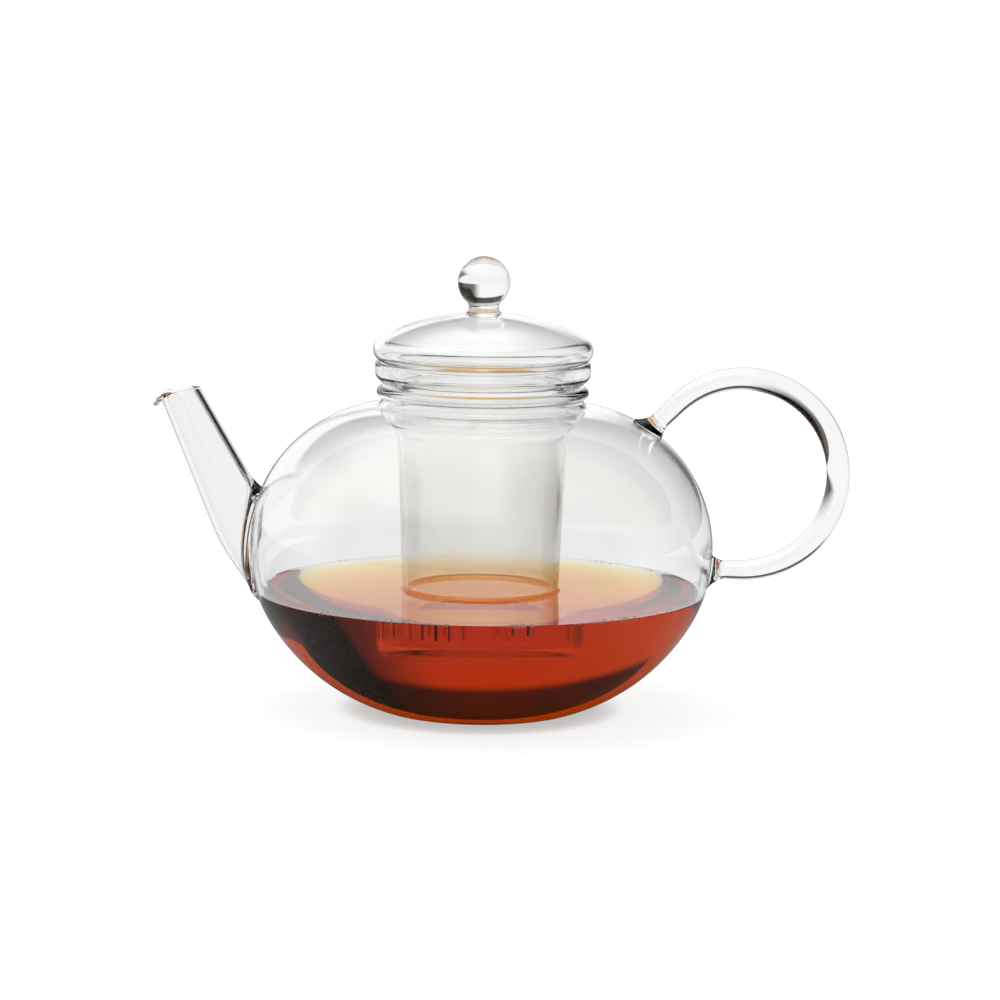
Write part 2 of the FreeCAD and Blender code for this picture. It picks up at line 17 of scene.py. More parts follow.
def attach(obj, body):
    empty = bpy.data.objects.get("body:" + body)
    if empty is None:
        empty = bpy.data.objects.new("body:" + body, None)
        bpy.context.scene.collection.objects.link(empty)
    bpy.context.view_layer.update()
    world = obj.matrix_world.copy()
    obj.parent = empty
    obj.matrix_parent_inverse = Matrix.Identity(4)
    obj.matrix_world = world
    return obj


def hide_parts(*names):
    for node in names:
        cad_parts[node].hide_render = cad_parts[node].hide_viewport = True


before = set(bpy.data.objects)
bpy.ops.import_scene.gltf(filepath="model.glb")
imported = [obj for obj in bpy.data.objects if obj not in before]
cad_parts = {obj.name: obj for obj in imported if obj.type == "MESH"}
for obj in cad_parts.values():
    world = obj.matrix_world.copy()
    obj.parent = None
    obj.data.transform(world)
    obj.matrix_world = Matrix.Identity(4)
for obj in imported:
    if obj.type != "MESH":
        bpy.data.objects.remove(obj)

Array = np.ndarray
Material = bpy.types.Material
Node = bpy.types.Node
Piece = bpy.types.Object
Socket = bpy.types.NodeSocket
Input = Socket | float | tuple

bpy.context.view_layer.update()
LOG = logging.getLogger("teapot")
MM = 0.001
WHITE = (1, 1, 1, 1)
CROSS = np.array([0.0, 1.0, 0.0])
# Heights nearer than this many millimetres count as the same.
HAIR = 0.01
# How often a span is halved to find a crossing in it.
HALVINGS = 40
# Steps round the edge of a wall.
EDGE_STEPS = 8
# How deep the waves are in glass that tea wets, in metres.
STILL = 0.00003
# Where clouds of noise begin and end, and the share left between them.
CLOUDS = (0.3, 0.7)
THIN = 0.75


class Body(Enum):
    """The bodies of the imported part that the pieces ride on."""

    POT = "pot"
    INFUSER = "infuser"
    LID = "lid"


class Slot(Enum):
    """The record's material slots."""

    POT = "pot_glass"
    INFUSER = "infuser_glass"
    LID = "lid_glass"


class Face(Enum):
    """Which of a piece's finishes a face takes."""

    OPEN = 0
    FUSED = 1
    WET = 2


def leg(slant: float, side: float) -> float:
    """The other short side of a right triangle."""
    return math.sqrt(slant**2 - side**2)


def bearing(start: tuple, end: tuple) -> float:
    """The angle from one point of a section to another, in degrees."""
    return math.degrees(math.atan2(end[1] - start[1], end[0] - start[0]))


def smooth(low: float, high: float, value: Array) -> Array:
    """Goes from 0 at low to 1 at high along 3t^2 - 2t^3."""
    t = np.clip((value - low) / (high - low), 0, 1)
    return t * t * (3 - 2 * t)


def around(count: int) -> Array:
    """Even steps round a full turn, in radians."""
    return np.arange(count) * 2 * math.pi / count


def half_round() -> Array:
    """Angles round the edge of a wall, in radians, without the two that its faces have already."""
    return np.linspace(0, math.pi, EDGE_STEPS + 1)[1:-1, None]


def upright(angle: Array) -> Array:
    """Directions (cos, 0, sin) in the plane that the spout and the handle lie in."""
    return np.stack([np.cos(angle), np.zeros_like(angle), np.sin(angle)], -1)


def spoke(turn: Array, first: Array, second: Array) -> Array:
    """Directions round a line: first cos turn + second sin turn."""
    return np.cos(turn)[..., None] * first + np.sin(turn)[..., None] * second


def stand(name: str, data: bpy.types.ID) -> Piece:
    """Makes an object at the origin, linked to the scene.

    Args:
        name: the object's name.
        data: its mesh, camera or light.

    Returns:
        The object.
    """
    thing = bpy.data.objects.new(name, data)
    bpy.context.scene.collection.objects.link(thing)
    return thing


class Outline:
    """A half section of a turned piece: rows of distance from the axis and height."""

    def __init__(self, across: float, up: float) -> None:
        """Starts at a point."""
        self.runs: list[Array] = [np.array([[across, up]], float)]
        self.marks: dict[str, int] = {}

    def mark(self, name: str) -> "Outline":
        """Remembers the number of the last row under a name."""
        self.marks[name] = sum(len(run) for run in self.runs) - 1
        return self

    def line(self, across: float, up: float, steps: int = 1) -> "Outline":
        """Runs straight on to a point.

        Args:
            across: the point's distance from the axis.
            up: its height.
            steps: how many rows it takes, evenly spaced.

        Returns:
            This outline.
        """
        start = self.runs[-1][-1]
        share = np.linspace(0, 1, steps + 1)[1:, None]
        self.runs.append(start + (np.array([across, up]) - start) * share)
        return self

    def arc(self, centre: tuple, radius: float, begin: float, end: float, steps: int) -> "Outline":
        """Runs round a centre: the centre plus radius times (cos a, sin a), a from begin to end.

        Args:
            centre: distance from the axis, and height.
            radius: the arc's.
            begin: the angle of the row that is there already, in degrees.
            end: the angle of the last row.
            steps: how many rows it takes.

        Returns:
            This outline.
        """
        angle = np.radians(np.linspace(begin, end, steps + 1))[1:]
        self.runs.append(np.array(centre) + radius * np.stack([np.cos(angle), np.sin(angle)], -1))
        return self

    def rows(self) -> Array:
        """All rows, from the first point to the last."""
        return np.concatenate(self.runs)


class Shell:
    """The vertices and faces of one piece, gathered grid by grid."""

    def __init__(self) -> None:
        """Starts with nothing."""
        self.places: list[Array] = []
        self.faces: list[Array] = []
        self.finish: list[Array] = []
        self.count = 0

    def add(self, places: Array) -> Array:
        """Adds places on a grid of any shape.

        Args:
            places: millimetres, with x, y and z along the last axis.

        Returns:
            The vertex numbers, in the grid's shape.
        """
        flat = places.reshape(-1, 3)
        self.places.append(flat)
        index = np.arange(self.count, self.count + len(flat)).reshape(places.shape[:-1])
        self.count += len(flat)
        return index

    def put(self, faces: Array, face: Face = Face.OPEN) -> None:
        """Adds faces, one row of vertex numbers each."""
        self.faces.append(faces)
        self.finish.append(np.full(len(faces), face.value, np.int32))

    def grid(self, index: Array, face: Face = Face.OPEN, keep: Array | None = None) -> None:
        """Joins a grid that closes on itself along its rows.

        Each face takes a vertex, the next in its row, and the two above them.

        Args:
            index: vertex numbers, row by row.
            face: the finish of the faces.
            keep: which cells get a face; all of them if it isn't given.
        """
        after = np.roll(index, -1, axis=1)
        cells = np.stack([index[:-1], after[:-1], after[1:], index[1:]], -1)
        self.put(cells[keep] if keep is not None else cells.reshape(-1, 4), face)

    def fan(self, ring: Array, pole: int, closing: bool, face: Face = Face.OPEN) -> None:
        """Joins a ring to one vertex.

        Args:
            ring: vertex numbers round it.
            pole: the one vertex.
            closing: whether the ring is the last row of a grid, and not the first.
            face: the finish of the faces.
        """
        after = np.roll(ring, -1)
        tip = np.full_like(ring, pole)
        self.put(np.stack([ring, after, tip] if closing else [tip, after, ring], -1), face)

    def turn(self, section: Array, angles: Array) -> Array:
        """Adds a section turned about the axis: x = r cos a, y = r sin a, z = height.

        Args:
            section: rows of radius and height, with neither end on the axis.
            angles: radians, one to a column.

        Returns:
            The vertex numbers, row by row.
        """
        radius, height = section[:, :1], section[:, 1:]
        x, y = radius * np.cos(angles), radius * np.sin(angles)
        return self.add(np.stack([x, y, np.broadcast_to(height, x.shape)], -1))

    def closed_turn(self, section: Array, angles: Array, first: Face = Face.OPEN,
                    last: Face = Face.OPEN) -> Array:
        """Turns a section whose two ends are on the axis, and closes both poles.

        Args:
            section: rows of radius and height, the first and the last on the axis.
            angles: radians, one to a column.
            first: the finish at the first pole.
            last: the finish at the last pole.

        Returns:
            The vertex numbers of the rows between the poles.
        """
        index = self.turn(section[1:-1], angles)
        ends = self.add(np.array([[0, 0, section[0, 1]], [0, 0, section[-1, 1]]], float))
        self.fan(index[0], int(ends[0]), False, first)
        self.fan(index[-1], int(ends[1]), True, last)
        return index

    def parted_turn(self, section: Array, columns: int, part: int, first: Face, last: Face) -> None:
        """Turns such a section all round and joins its rows, with a change of finish on the way.

        Args:
            section: rows of radius and height, the first and the last on the axis.
            columns: how many there are in a full turn.
            part: the row where the finish changes.
            first: the finish up to that row.
            last: the finish after it.
        """
        index = self.closed_turn(section, around(columns), first, last)
        self.grid(index[:part], first)
        self.grid(index[part - 1:], last)

    def heights(self, faces: Array) -> Array:
        """The height of the highest corner of each face."""
        return np.concatenate(self.places)[:, 2][faces].max(-1)

    def piece(self, name: str, finishes: list[Material], crease: float = 180) -> Piece:
        """Makes the mesh and its object at the origin.

        Args:
            name: the piece's name.
            finishes: materials, in the order of Face.
            crease: edges sharper than this many degrees stay sharp.

        Returns:
            The object, linked to the scene.
        """
        mesh = bpy.data.meshes.new(name)
        faces = [row for block in self.faces for row in block.tolist()]
        mesh.from_pydata((np.concatenate(self.places) * MM).tolist(), [], faces)
        for material in finishes:
            mesh.materials.append(material)
        finish = np.concatenate(self.finish)
        mesh.polygons.foreach_set("material_index", np.minimum(finish, len(finishes) - 1))
        wet = mesh.attributes.new("wet", "FLOAT", "FACE")
        wet.data.foreach_set("value", (finish == Face.WET.value).astype(np.float32))
        mesh.polygons.foreach_set("use_smooth", np.ones(len(faces), bool))
        mesh.update()
        if crease < 180:
            mesh.set_sharp_from_angle(angle=math.radians(crease))
        return stand(name, mesh)


class Paint:
    """The node tree of a material or of the world, with short ways to add and join nodes."""

    def __init__(self, owner: Material | bpy.types.World) -> None:
        """Starts with an empty tree.

        Args:
            owner: the material or the world.
        """
        owner.use_nodes = True
        self.owner, self.tree = owner, owner.node_tree
        self.tree.nodes.clear()

    def feed(self, value: Input, end: Socket) -> None:
        """Links a socket to an input, or sets the input to a value.

        Args:
            value: the socket or the value.
            end: the input.
        """
        if isinstance(value, Socket):
            self.tree.links.new(value, end)
        else:
            end.default_value = value

    def node(self, kind: str, *values: Input, **named: Input) -> Node:
        """Adds a node and feeds its inputs.

        Args:
            kind: the node's type.
            values: what its inputs take, in their order.
            named: what its inputs take by name, with _ for a space.

        Returns:
            The node.
        """
        node = self.tree.nodes.new("ShaderNode" + kind)
        for value, end in zip(values, node.inputs):
            self.feed(value, end)
        for name, value in named.items():
            self.feed(value, node.inputs[name.replace("_", " ")])
        return node

    def add(self, kind: str, *values: Input, **named: Input) -> Socket:
        """Adds a node in the same way, and gives its first output."""
        return self.node(kind, *values, **named).outputs[0]

    def place(self) -> Socket:
        """The place on the piece, in metres."""
        return self.node("TexCoord").outputs["Object"]

    def axes(self, place: Socket) -> dict[str, Socket]:
        """The X, Y and Z of a place or a direction."""
        return {end.name: end for end in self.node("SeparateXYZ", place).outputs}

    def noise(self, scale: float, detail: float) -> Socket:
        """Cloudy noise over the piece, from about 0.25 to 0.75."""
        return self.node("TexNoise", Vector=self.place(), Scale=scale, Detail=detail).outputs["Fac"]

    def ramp(self, value: Socket, low: float, high: float, to_low: float, to_high: float) -> Socket:
        """Maps a range of a value smoothly to another range.

        Args:
            value: what is mapped.
            low: where its range starts.
            high: where its range ends.
            to_low: the result at the start.
            to_high: the result at the end.

        Returns:
            The result.
        """
        node = self.node("MapRange", value, low, high, to_low, to_high)
        node.interpolation_type = "SMOOTHSTEP"
        return node.outputs["Result"]

    def patches(self, scale: float, detail: float) -> Socket:
        """A share that is whole in clouds of noise and thinner between them."""
        return self.ramp(self.noise(scale, detail), *CLOUDS, THIN, 1)

    def wavy(self, scale: float, depth: float) -> Socket:
        """A normal that makes a smooth surface slightly wavy."""
        return self.add("Bump", Strength=1.0, Distance=depth, Height=self.noise(scale, 1))

    def maths(self, kind: str, first: Input, second: Input) -> Socket:
        """Works out one value from two.

        Args:
            kind: the operation's name.
            first: the first value.
            second: the second value.

        Returns:
            The result.
        """
        node = self.node("Math", first, second)
        node.operation = kind
        return node.outputs[0]

    def times(self, first: Input, second: Input) -> Socket:
        """One value times another."""
        return self.maths("MULTIPLY", first, second)

    def larger(self, first: Input, second: Input) -> Socket:
        """The larger of two values."""
        return self.maths("MAXIMUM", first, second)

    def colours(self, value: Socket, stops: dict[float, tuple]) -> Socket:
        """Gives each value a colour, blended between stops.

        Args:
            value: what is mapped, from 0 to 1.
            stops: a colour for each value that has its own; the first two are any two.

        Returns:
            The colour.
        """
        node = self.node("ValToRGB", value)
        ramp = node.color_ramp
        for number, (where, colour) in enumerate(stops.items()):
            stop = ramp.elements[number] if number < 2 else ramp.elements.new(where)
            stop.position, stop.color = where, (*colour, 1)
        return node.outputs["Color"]

    def mix(self, share: Input, first: Socket, second: Socket) -> Socket:
        """One shader, and another by a share."""
        return self.add("MixShader", share, first, second)

    def done(self, output: str = "OutputMaterial", **shaders: Socket) -> Material | bpy.types.World:
        """Joins the shaders to the output and returns what they are for."""
        self.node(output, **shaders)
        return self.owner


@dataclass(frozen=True)
class Finish:
    """What every finish has: a name, and a material to start on."""

    name: str

    def paint(self) -> Paint:
        """The empty material of that name."""
        return Paint(bpy.data.materials.new(self.name))


@dataclass(frozen=True)
class ClearGlass(Finish):
    """Polished lampworked glass: colourless, very slightly wavy, with a trace of handling marks."""

    tint: tuple = (0.985, 0.992, 0.99, 1)
    ior: float = 1.47
    wave_scale: float = 26.0
    wave_depth: float = 0.00012
    smear_scale: float = 55.0
    smear_band: tuple = (0.45, 0.8)
    polish: float = 0.008
    smear: float = 0.02

    def shader(self, paint: Paint) -> Socket:
        """The glass itself, with its waves and its smears.

        Args:
            paint: the material's tree.

        Returns:
            The shader.
        """
        smears = paint.ramp(paint.noise(self.smear_scale, 4), *self.smear_band, self.polish, self.smear)
        waves = paint.wavy(self.wave_scale, self.wave_depth)
        return paint.add("BsdfPrincipled", Base_Color=self.tint, IOR=self.ior, Transmission_Weight=1.0,
                         Roughness=smears, Normal=waves)

    def material(self) -> Material:
        """The finished material."""
        paint = self.paint()
        return paint.done(Surface=self.shader(paint))


@dataclass(frozen=True)
class MistedGlass(ClearGlass):
    """The infuser's glass: fogged by steam above the tea, tan just above it and paler higher up. Heights are
    in metres.
    """

    mist_band: tuple = (0.0475, 0.0515)
    mist_end: tuple = (0.083, 0.113)
    mist: float = 0.2
    mist_scale: float = 38.0
    tan_band: tuple = (0.0475, 0.0875)
    tan: tuple = (0.93, 0.74, 0.46)
    cream: tuple = (0.99, 0.95, 0.88)
    cream_at: float = 0.4
    dew_ior: float = 1.15
    dew_roughness: float = 0.3
    film: float = 0.2

    def material(self) -> Material:
        """Clear glass, with a fine white dew by height.

        Returns:
            The finished material.
        """
        paint = self.paint()
        height = paint.axes(paint.place())["Z"]
        rise = paint.ramp(height, *self.mist_band, 0, 1)
        fall = paint.ramp(height, *self.mist_end, self.mist, 0)
        share = paint.times(paint.times(rise, fall), paint.patches(self.mist_scale, 3))
        # The dew's colour by height: tan just above the tea, then cream, then white higher up.
        tan_by_height = paint.ramp(height, *self.tan_band, 0, 1)
        colour = paint.colours(tan_by_height, {0.0: self.tan, 1.0: WHITE[:3], self.cream_at: self.cream})
        dew = paint.add("BsdfPrincipled", Base_Color=colour, IOR=self.dew_ior, Transmission_Weight=1.0,
                        Roughness=self.dew_roughness)
        fog = paint.mix(self.film, dew, paint.add("BsdfTranslucent", Color=colour))
        return paint.done(Surface=paint.mix(share, self.shader(paint), fog))


@dataclass(frozen=True)
class FusedSeam(Finish):
    """Where two pieces of glass are melted together: no surface is left to see."""

    name: str = "fused_seam"

    def material(self) -> Material:
        """A seam that light goes straight through."""
        paint = self.paint()
        return paint.done(Surface=paint.add("BsdfTransparent"))


@dataclass(frozen=True)
class BlackTea(Finish):
    """Clear brewed tea: the light that goes through it turns amber, then red."""

    name: str = "black_tea"
    ior: float = 1.333
    colour: tuple = (0.944, 0.73, 0.0, 1)
    density: float = 90.0
    ripple_scale: float = 60.0
    ripple_depth: float = 0.00005

    def material(self) -> Material:
        """A liquid's surface with absorption inside; where it wets the glass, the glass bends the light.

        Returns:
            The finished material.
        """
        paint = self.paint()
        ripples = paint.wavy(self.ripple_scale, self.ripple_depth)
        water = paint.add("BsdfPrincipled", Base_Color=WHITE, IOR=self.ior, Transmission_Weight=1.0,
                          Roughness=0.0, Normal=ripples)
        wet = paint.node("Attribute")
        wet.attribute_name = "wet"
        surface = paint.mix(wet.outputs["Fac"], water, paint.add("BsdfTransparent"))
        brew = paint.add("VolumeAbsorption", Color=self.colour, Density=self.density)
        return paint.done(Surface=surface, Volume=brew)


@dataclass(frozen=True)
class BubbleFilm(Finish):
    """Froth bubbles: a thin bright film that shows most at its edge."""

    name: str = "bubble_film"
    white: tuple = (1.0, 0.99, 0.97, 1)
    white_roughness: float = 0.15
    milk: tuple = (1.0, 1.0, 0.99, 1)
    milk_ior: float = 1.05
    milk_roughness: float = 0.5
    milk_share: float = 0.85
    edge: float = 0.8
    middle: float = 0.5
    patch_scale: float = 400.0

    def material(self) -> Material:
        """Milky in the middle, white at the rim.

        Returns:
            The finished material.
        """
        paint = self.paint()
        film = paint.add("BsdfPrincipled", Base_Color=self.white, Roughness=self.white_roughness)
        glow = paint.add("BsdfPrincipled", Base_Color=self.milk, IOR=self.milk_ior, Transmission_Weight=1.0,
                         Roughness=self.milk_roughness)
        facing = paint.node("LayerWeight", Blend=self.edge).outputs["Facing"]
        rim = paint.ramp(facing, 0, 1, self.middle, 1)
        share = paint.times(rim, paint.patches(self.patch_scale, 1))
        skin = paint.mix(self.milk_share, film, glow)
        return paint.done(Surface=paint.mix(share, paint.add("BsdfTransparent"), skin))


@dataclass
class Pot:
    """The blown bulb with its neck and rolled rim, the spout and the rod handle fused to it.

    A block is the part of the shoulder's grid that a joint takes up: its first and its last row, and
    how many columns it reaches to each side. A span is a run on each side of a crossing to be found.
    """

    belly: tuple = (34.4, 63.6)
    shoulder_arc: float = 55.8
    bowl_angle: float = 31.0
    foot_fillet: float = 20.0
    foot_radius: float = 33.7
    foot_ring: float = 10.0
    punt_depth: float = 1.2
    wall: float = 2.2
    floor: float = 3.0
    neck_bore: float = 36.9
    neck_fillet: float = 2.4
    neck_length: float = 0.8
    rim_bead: float = 2.1
    columns: int = 216
    row_step: float = 1.5
    wet_steps: int = 9
    spout_block: tuple = (3, 43, 9)
    foot_block: tuple = (9, 22, 4)
    top_block: tuple = (50, 66, 6)
    blend_rings: int = 8
    blend_ease: float = 1.4
    joint_lines: int = 360

    tip: tuple = (-117.1, 122.35)
    spout_lean: float = 25.9
    spout_straight: float = 52.0
    spout_bend: float = 60.0
    spout_span: tuple = (20.0, 86.7)
    tip_radius: float = 7.7
    root_radius: float = 11.9
    root_run: float = 60.7
    root_flare: float = 2.6
    flare_length: float = 3.2
    spout_wall: float = 1.8
    spout_rows: int = 48
    spout_columns: int = 120
    mouth_tilt: float = 14.0
    lip_arc: float = 1.95
    lip_turn: float = 155.0
    lip_least: float = 8.0
    lip_from: float = 0.25
    lip_rows: int = 15

    loop_centre: tuple = (101.0, 93.2)
    loop: float = 37.5
    loop_turn: float = 226.0
    loop_span: float = 40.0
    grip_radius: float = 4.49
    thin_radius: float = 3.3
    pad_radius: float = 6.2
    pad_length: float = 6.0
    pad_most: float = 1.2
    pad_span: float = 8.0
    pad_share: float = 0.06
    pad_rows: int = 12
    rod_rows: int = 150
    rod_columns: int = 48

    def __post_init__(self) -> None:
        """Works out the centres that the arcs turn about, and where the handle's ends are."""
        turn = math.radians(self.bowl_angle)
        across = self.belly[0] - self.foot_radius
        up = self.belly[1] - self.foot_fillet
        inner = self.shoulder_arc - self.foot_fillet
        grown = (across**2 + up**2 - inner**2) / 2 / (inner - up * math.sin(turn) + across * math.cos(turn))
        self.bowl = (self.belly[0] - grown * math.cos(turn), self.belly[1] + grown * math.sin(turn))
        self.bowl_arc = self.shoulder_arc + grown
        neck_across = self.neck_bore + self.wall + self.neck_fillet
        rise = leg(self.shoulder_arc + self.neck_fillet, neck_across - self.belly[0])
        self.neck = (neck_across, self.belly[1] + rise)
        self.neck_angle = bearing(self.belly, self.neck)
        whole = self.neck_angle + self.bowl_angle
        self.steps = round(whole / self.row_step)
        wet = math.radians(self.wet_steps * whole / self.steps - self.bowl_angle)
        self.wet_height = self.belly[1] + (self.shoulder_arc - self.wall) * math.sin(wet)
        bead_up = self.neck[1] + self.neck_length + leg(self.rim_bead, self.wall - self.rim_bead)
        self.bead = (self.neck_bore + self.rim_bead, bead_up)
        self.loop_length = self.loop * math.radians(self.loop_turn)
        self.rod_foot, self.rod_top = self.rod_ends()

    def foot_place(self, inset: float, floor: float) -> tuple[tuple, float]:
        """The centre of the fillet round the foot, and the angle where it meets the bowl.

        Args:
            inset: how far inside the blank's outline, in millimetres.
            floor: the height of the flat it ends on.

        Returns:
            The centre, and the angle in degrees.
        """
        up = floor + self.foot_fillet
        across = self.bowl[0] + leg(self.bowl_arc - inset - self.foot_fillet, up - self.bowl[1])
        return (across, up), bearing(self.bowl, (across, up))

    def section(self) -> Outline:
        """The bulb's wall, from the hollow under the foot over the rim to the floor inside.

        Returns:
            The outline, with marks where the shoulder's two faces start.
        """
        foot, foot_angle = self.foot_place(0, 0)
        punt = foot[0] - self.foot_ring
        punt_arc = (punt**2 + self.punt_depth**2) / (2 * self.punt_depth)
        punt_angle = math.degrees(math.asin(punt / punt_arc))
        bead_start = math.degrees(math.acos((self.wall - self.rim_bead) / self.rim_bead))
        s = Outline(0, self.punt_depth)
        s.arc((0, self.punt_depth - punt_arc), punt_arc, 90, 90 - punt_angle, 10)
        s.line(foot[0], 0, 5).arc(foot, self.foot_fillet, -90, foot_angle, 12)
        s.arc(self.bowl, self.bowl_arc, foot_angle, -self.bowl_angle, 34).mark("outer")
        s.arc(self.belly, self.shoulder_arc, -self.bowl_angle, self.neck_angle, self.steps)
        s.arc(self.neck, self.neck_fillet, self.neck_angle + 180, 180, 8)
        s.line(self.neck_bore + self.wall, self.neck[1] + self.neck_length, 2)
        s.arc(self.bead, self.rim_bead, -bead_start, 180, 22).line(self.neck_bore, self.neck[1], 3)
        s.arc(self.neck, self.neck_fillet + self.wall, 180, self.neck_angle + 180, 8).mark("inner")
        foot, foot_angle = self.foot_place(self.wall, self.floor)
        s.arc(self.belly, self.shoulder_arc - self.wall, self.neck_angle, -self.bowl_angle, self.steps)
        s.arc(self.bowl, self.bowl_arc - self.wall, -self.bowl_angle, foot_angle, 30)
        return s.arc(foot, self.foot_fillet, foot_angle, -90, 10).line(0, self.floor, 12)

    def outside(self, places: Array, inset: float) -> Array:
        """How far places lie outside the shoulder: the distance from the arc's ring, less its radius."""
        across = np.hypot(places[..., 0], places[..., 1]) - self.belly[0]
        return np.hypot(across, places[..., 2] - self.belly[1]) - self.shoulder_arc + inset

    def on_shoulder(self, turn: Array, rise: Array, inset: float) -> Array:
        """Places on the shoulder: radius = ring + arc cos rise, height = middle + arc sin rise.

        Args:
            turn: angles about the pot's axis, in radians.
            rise: angles up the arc, in radians.
            inset: how far in from the bulb's outside.

        Returns:
            The places.
        """
        radius = self.belly[0] + (self.shoulder_arc - inset) * np.cos(rise)
        height = self.belly[1] + (self.shoulder_arc - inset) * np.sin(rise)
        return np.stack([radius * np.cos(turn), radius * np.sin(turn), height], -1)

    def meeting(self, path: Callable[[Array], Array], inside: Array, beyond: Array,
                inset: float = 0.0) -> Array:
        """Where lines of a tube cross the wall, halving the span that holds the crossing.

        Args:
            path: gives the places on the lines at a run for each line.
            inside: a run inside the bulb, for each line.
            beyond: a run outside it.
            inset: how far in from the bulb's outside.

        Returns:
            The run at the crossing, for each line.
        """
        low, high = inside, beyond
        for _ in range(HALVINGS):
            middle = (low + high) / 2
            out = self.outside(path(middle), inset) > 0
            low, high = np.where(out, low, middle), np.where(out, middle, high)
        return (low + high) / 2

    def patch(self, shell: Shell, index: Array, rises: Array, block: tuple, rings: list[Array],
              inset: float, hole: bool) -> Array:
        """Fills a block of the shoulder's grid round a joint.

        The rings are read as distance by direction about the joint's middle, on the surface laid flat.
        Further rings blend from the last one to the edge of the block.

        Args:
            shell: the piece.
            index: vertex numbers of the shoulder's rows.
            rises: the rows' angles in radians.
            block: first and last row, first and last column.
            rings: closed lines on the wall, from the innermost outwards.
            inset: how far in from the bulb's outside.
            hole: whether the innermost ring stays open.

        Returns:
            The vertex numbers of the innermost ring.
        """
        low, high, left, right = block
        up, along = np.arange(low, high), np.arange(left, right)
        rows = np.concatenate([np.full(len(along), low), up, np.full(len(along), high), up[::-1] + 1])
        cols = np.concatenate([along, np.full(len(up), right), along[::-1] + 1, np.full(len(up), left)])
        edge = index[rows, cols % self.columns]
        step = 2 * math.pi / self.columns
        middle = (left + right) / 2 * step, (rises[low] + rises[high]) / 2
        arc = self.shoulder_arc - inset
        reach = self.belly[0] + arc * math.cos(middle[1])
        border = np.stack([(cols * step - middle[0]) * reach, (rises[rows] - middle[1]) * arc], -1)
        direction = np.arctan2(border[:, 1], border[:, 0])
        flat = []
        for ring in rings:
            turn = (np.arctan2(ring[:, 1], ring[:, 0]) - middle[0] + math.pi) % (2 * math.pi) - math.pi
            rise = np.arctan2(ring[:, 2] - self.belly[1], np.hypot(ring[:, 0], ring[:, 1]) - self.belly[0])
            across, upward = turn * reach, (rise - middle[1]) * arc
            angle = np.arctan2(upward, across)
            order = np.argsort(angle)
            distance = np.interp(direction, angle[order], np.hypot(across, upward)[order], period=2 * math.pi)
            flat.append(distance[:, None] * np.stack([np.cos(direction), np.sin(direction)], -1))
        share = (np.linspace(0, 1, self.blend_rings + 2)[1:-1] ** self.blend_ease)[:, None, None]
        flat = np.concatenate([np.array(flat), flat[-1] * (1 - share) + border * share])
        places = self.on_shoulder(flat[..., 0] / reach + middle[0], flat[..., 1] / arc + middle[1], inset)
        grid = np.concatenate([shell.add(places), edge[None]])
        after = np.roll(grid, -1, axis=1)
        cells = np.stack([grid[:-1], grid[1:], after[1:], after[:-1]], -1)
        if inset > 0:
            cells = cells[..., ::-1]
        fused = len(rings) - 1
        shell.put(cells[:fused].reshape(-1, 4), Face.FUSED)
        rest = cells[fused:].reshape(-1, 4)
        wet = (shell.heights(rest) < self.wet_height + HAIR) & (inset > 0)
        shell.put(rest[wet], Face.WET)
        shell.put(rest[~wet])
        if not hole:
            pole = shell.add(places[0].mean(0)[None])
            shell.fan(grid[0], int(pole[0]), closing=True, face=Face.FUSED)
        return grid[0]

    def body(self, finishes: list[Material]) -> Piece:
        """The bulb, with a hole under the spout and bare seams under the spout and the handle's pads.

        Args:
            finishes: clear, fused and wet glass.

        Returns:
            The piece.
        """
        section, shell, steps = self.section(), Shell(), self.steps
        index = shell.closed_turn(section.rows(), around(self.columns), last=Face.WET)
        rises = np.radians(np.linspace(-self.bowl_angle, self.neck_angle, steps + 1))
        outer, inner = section.marks["outer"] - 1, section.marks["inner"] - 1
        joints = (self.spout_block, self.columns // 2), (self.foot_block, 0), (self.top_block, 0)
        blocks = [(low, high, middle - reach, middle + reach) for (low, high, reach), middle in joints]
        keep = np.ones((len(index) - 1, self.columns), bool)
        for low, high, left, right in blocks:
            keep[outer + low:outer + high, np.arange(left, right) % self.columns] = False
        low, high, left, right = blocks[0]
        keep[inner + steps - high:inner + steps - low, left:right] = False
        shore = inner + steps - self.wet_steps
        shell.grid(index[:shore + 1], keep=keep[:shore])
        shell.grid(index[shore:], Face.WET, keep[shore:])
        outside = index[outer:outer + steps + 1]
        inside = index[inner:inner + steps + 1][::-1]
        turn = around(self.joint_lines)
        plain, flared = self.spout_root(turn)
        seam = [self.spout_bore(turn, 0), self.spout_place(flared, turn, 0, plain)]
        bore = [self.spout_bore(turn, self.wall)]
        out_ring = self.patch(shell, outside, rises, blocks[0], seam, 0, hole=True)
        in_ring = self.patch(shell, inside, rises, blocks[0], bore, self.wall, hole=True)
        shell.grid(np.stack([out_ring, in_ring]))
        for block, pad in zip(blocks[1:], self.pad_lines(around(self.joint_lines // 2))):
            self.patch(shell, outside, rises, block, [pad], 0, hole=False)
        return shell.piece("pot_bulb", finishes)

    def spout_frame(self, run: Array) -> tuple[Array, Array, Array]:
        """The spout's middle line: straight down from the mouth, then round the bend into the pot.

        Args:
            run: distance down from the mouth.

        Returns:
            The places, the directions to the underside, and the directions up to the mouth.
        """
        lean = math.radians(self.spout_lean)
        tilt = lean + np.maximum(run - self.spout_straight, 0) / self.spout_bend
        over = np.maximum(self.spout_straight - run, 0)
        across = self.tip[0] + self.spout_straight * math.sin(lean) + self.spout_bend * math.cos(lean)
        up = self.tip[1] - self.spout_straight * math.cos(lean) + self.spout_bend * math.sin(lean)
        under, towards = -upright(tilt), upright(tilt + math.pi / 2)
        return np.array([across, 0, up]) + self.spout_bend * under + over[..., None] * towards, under, towards

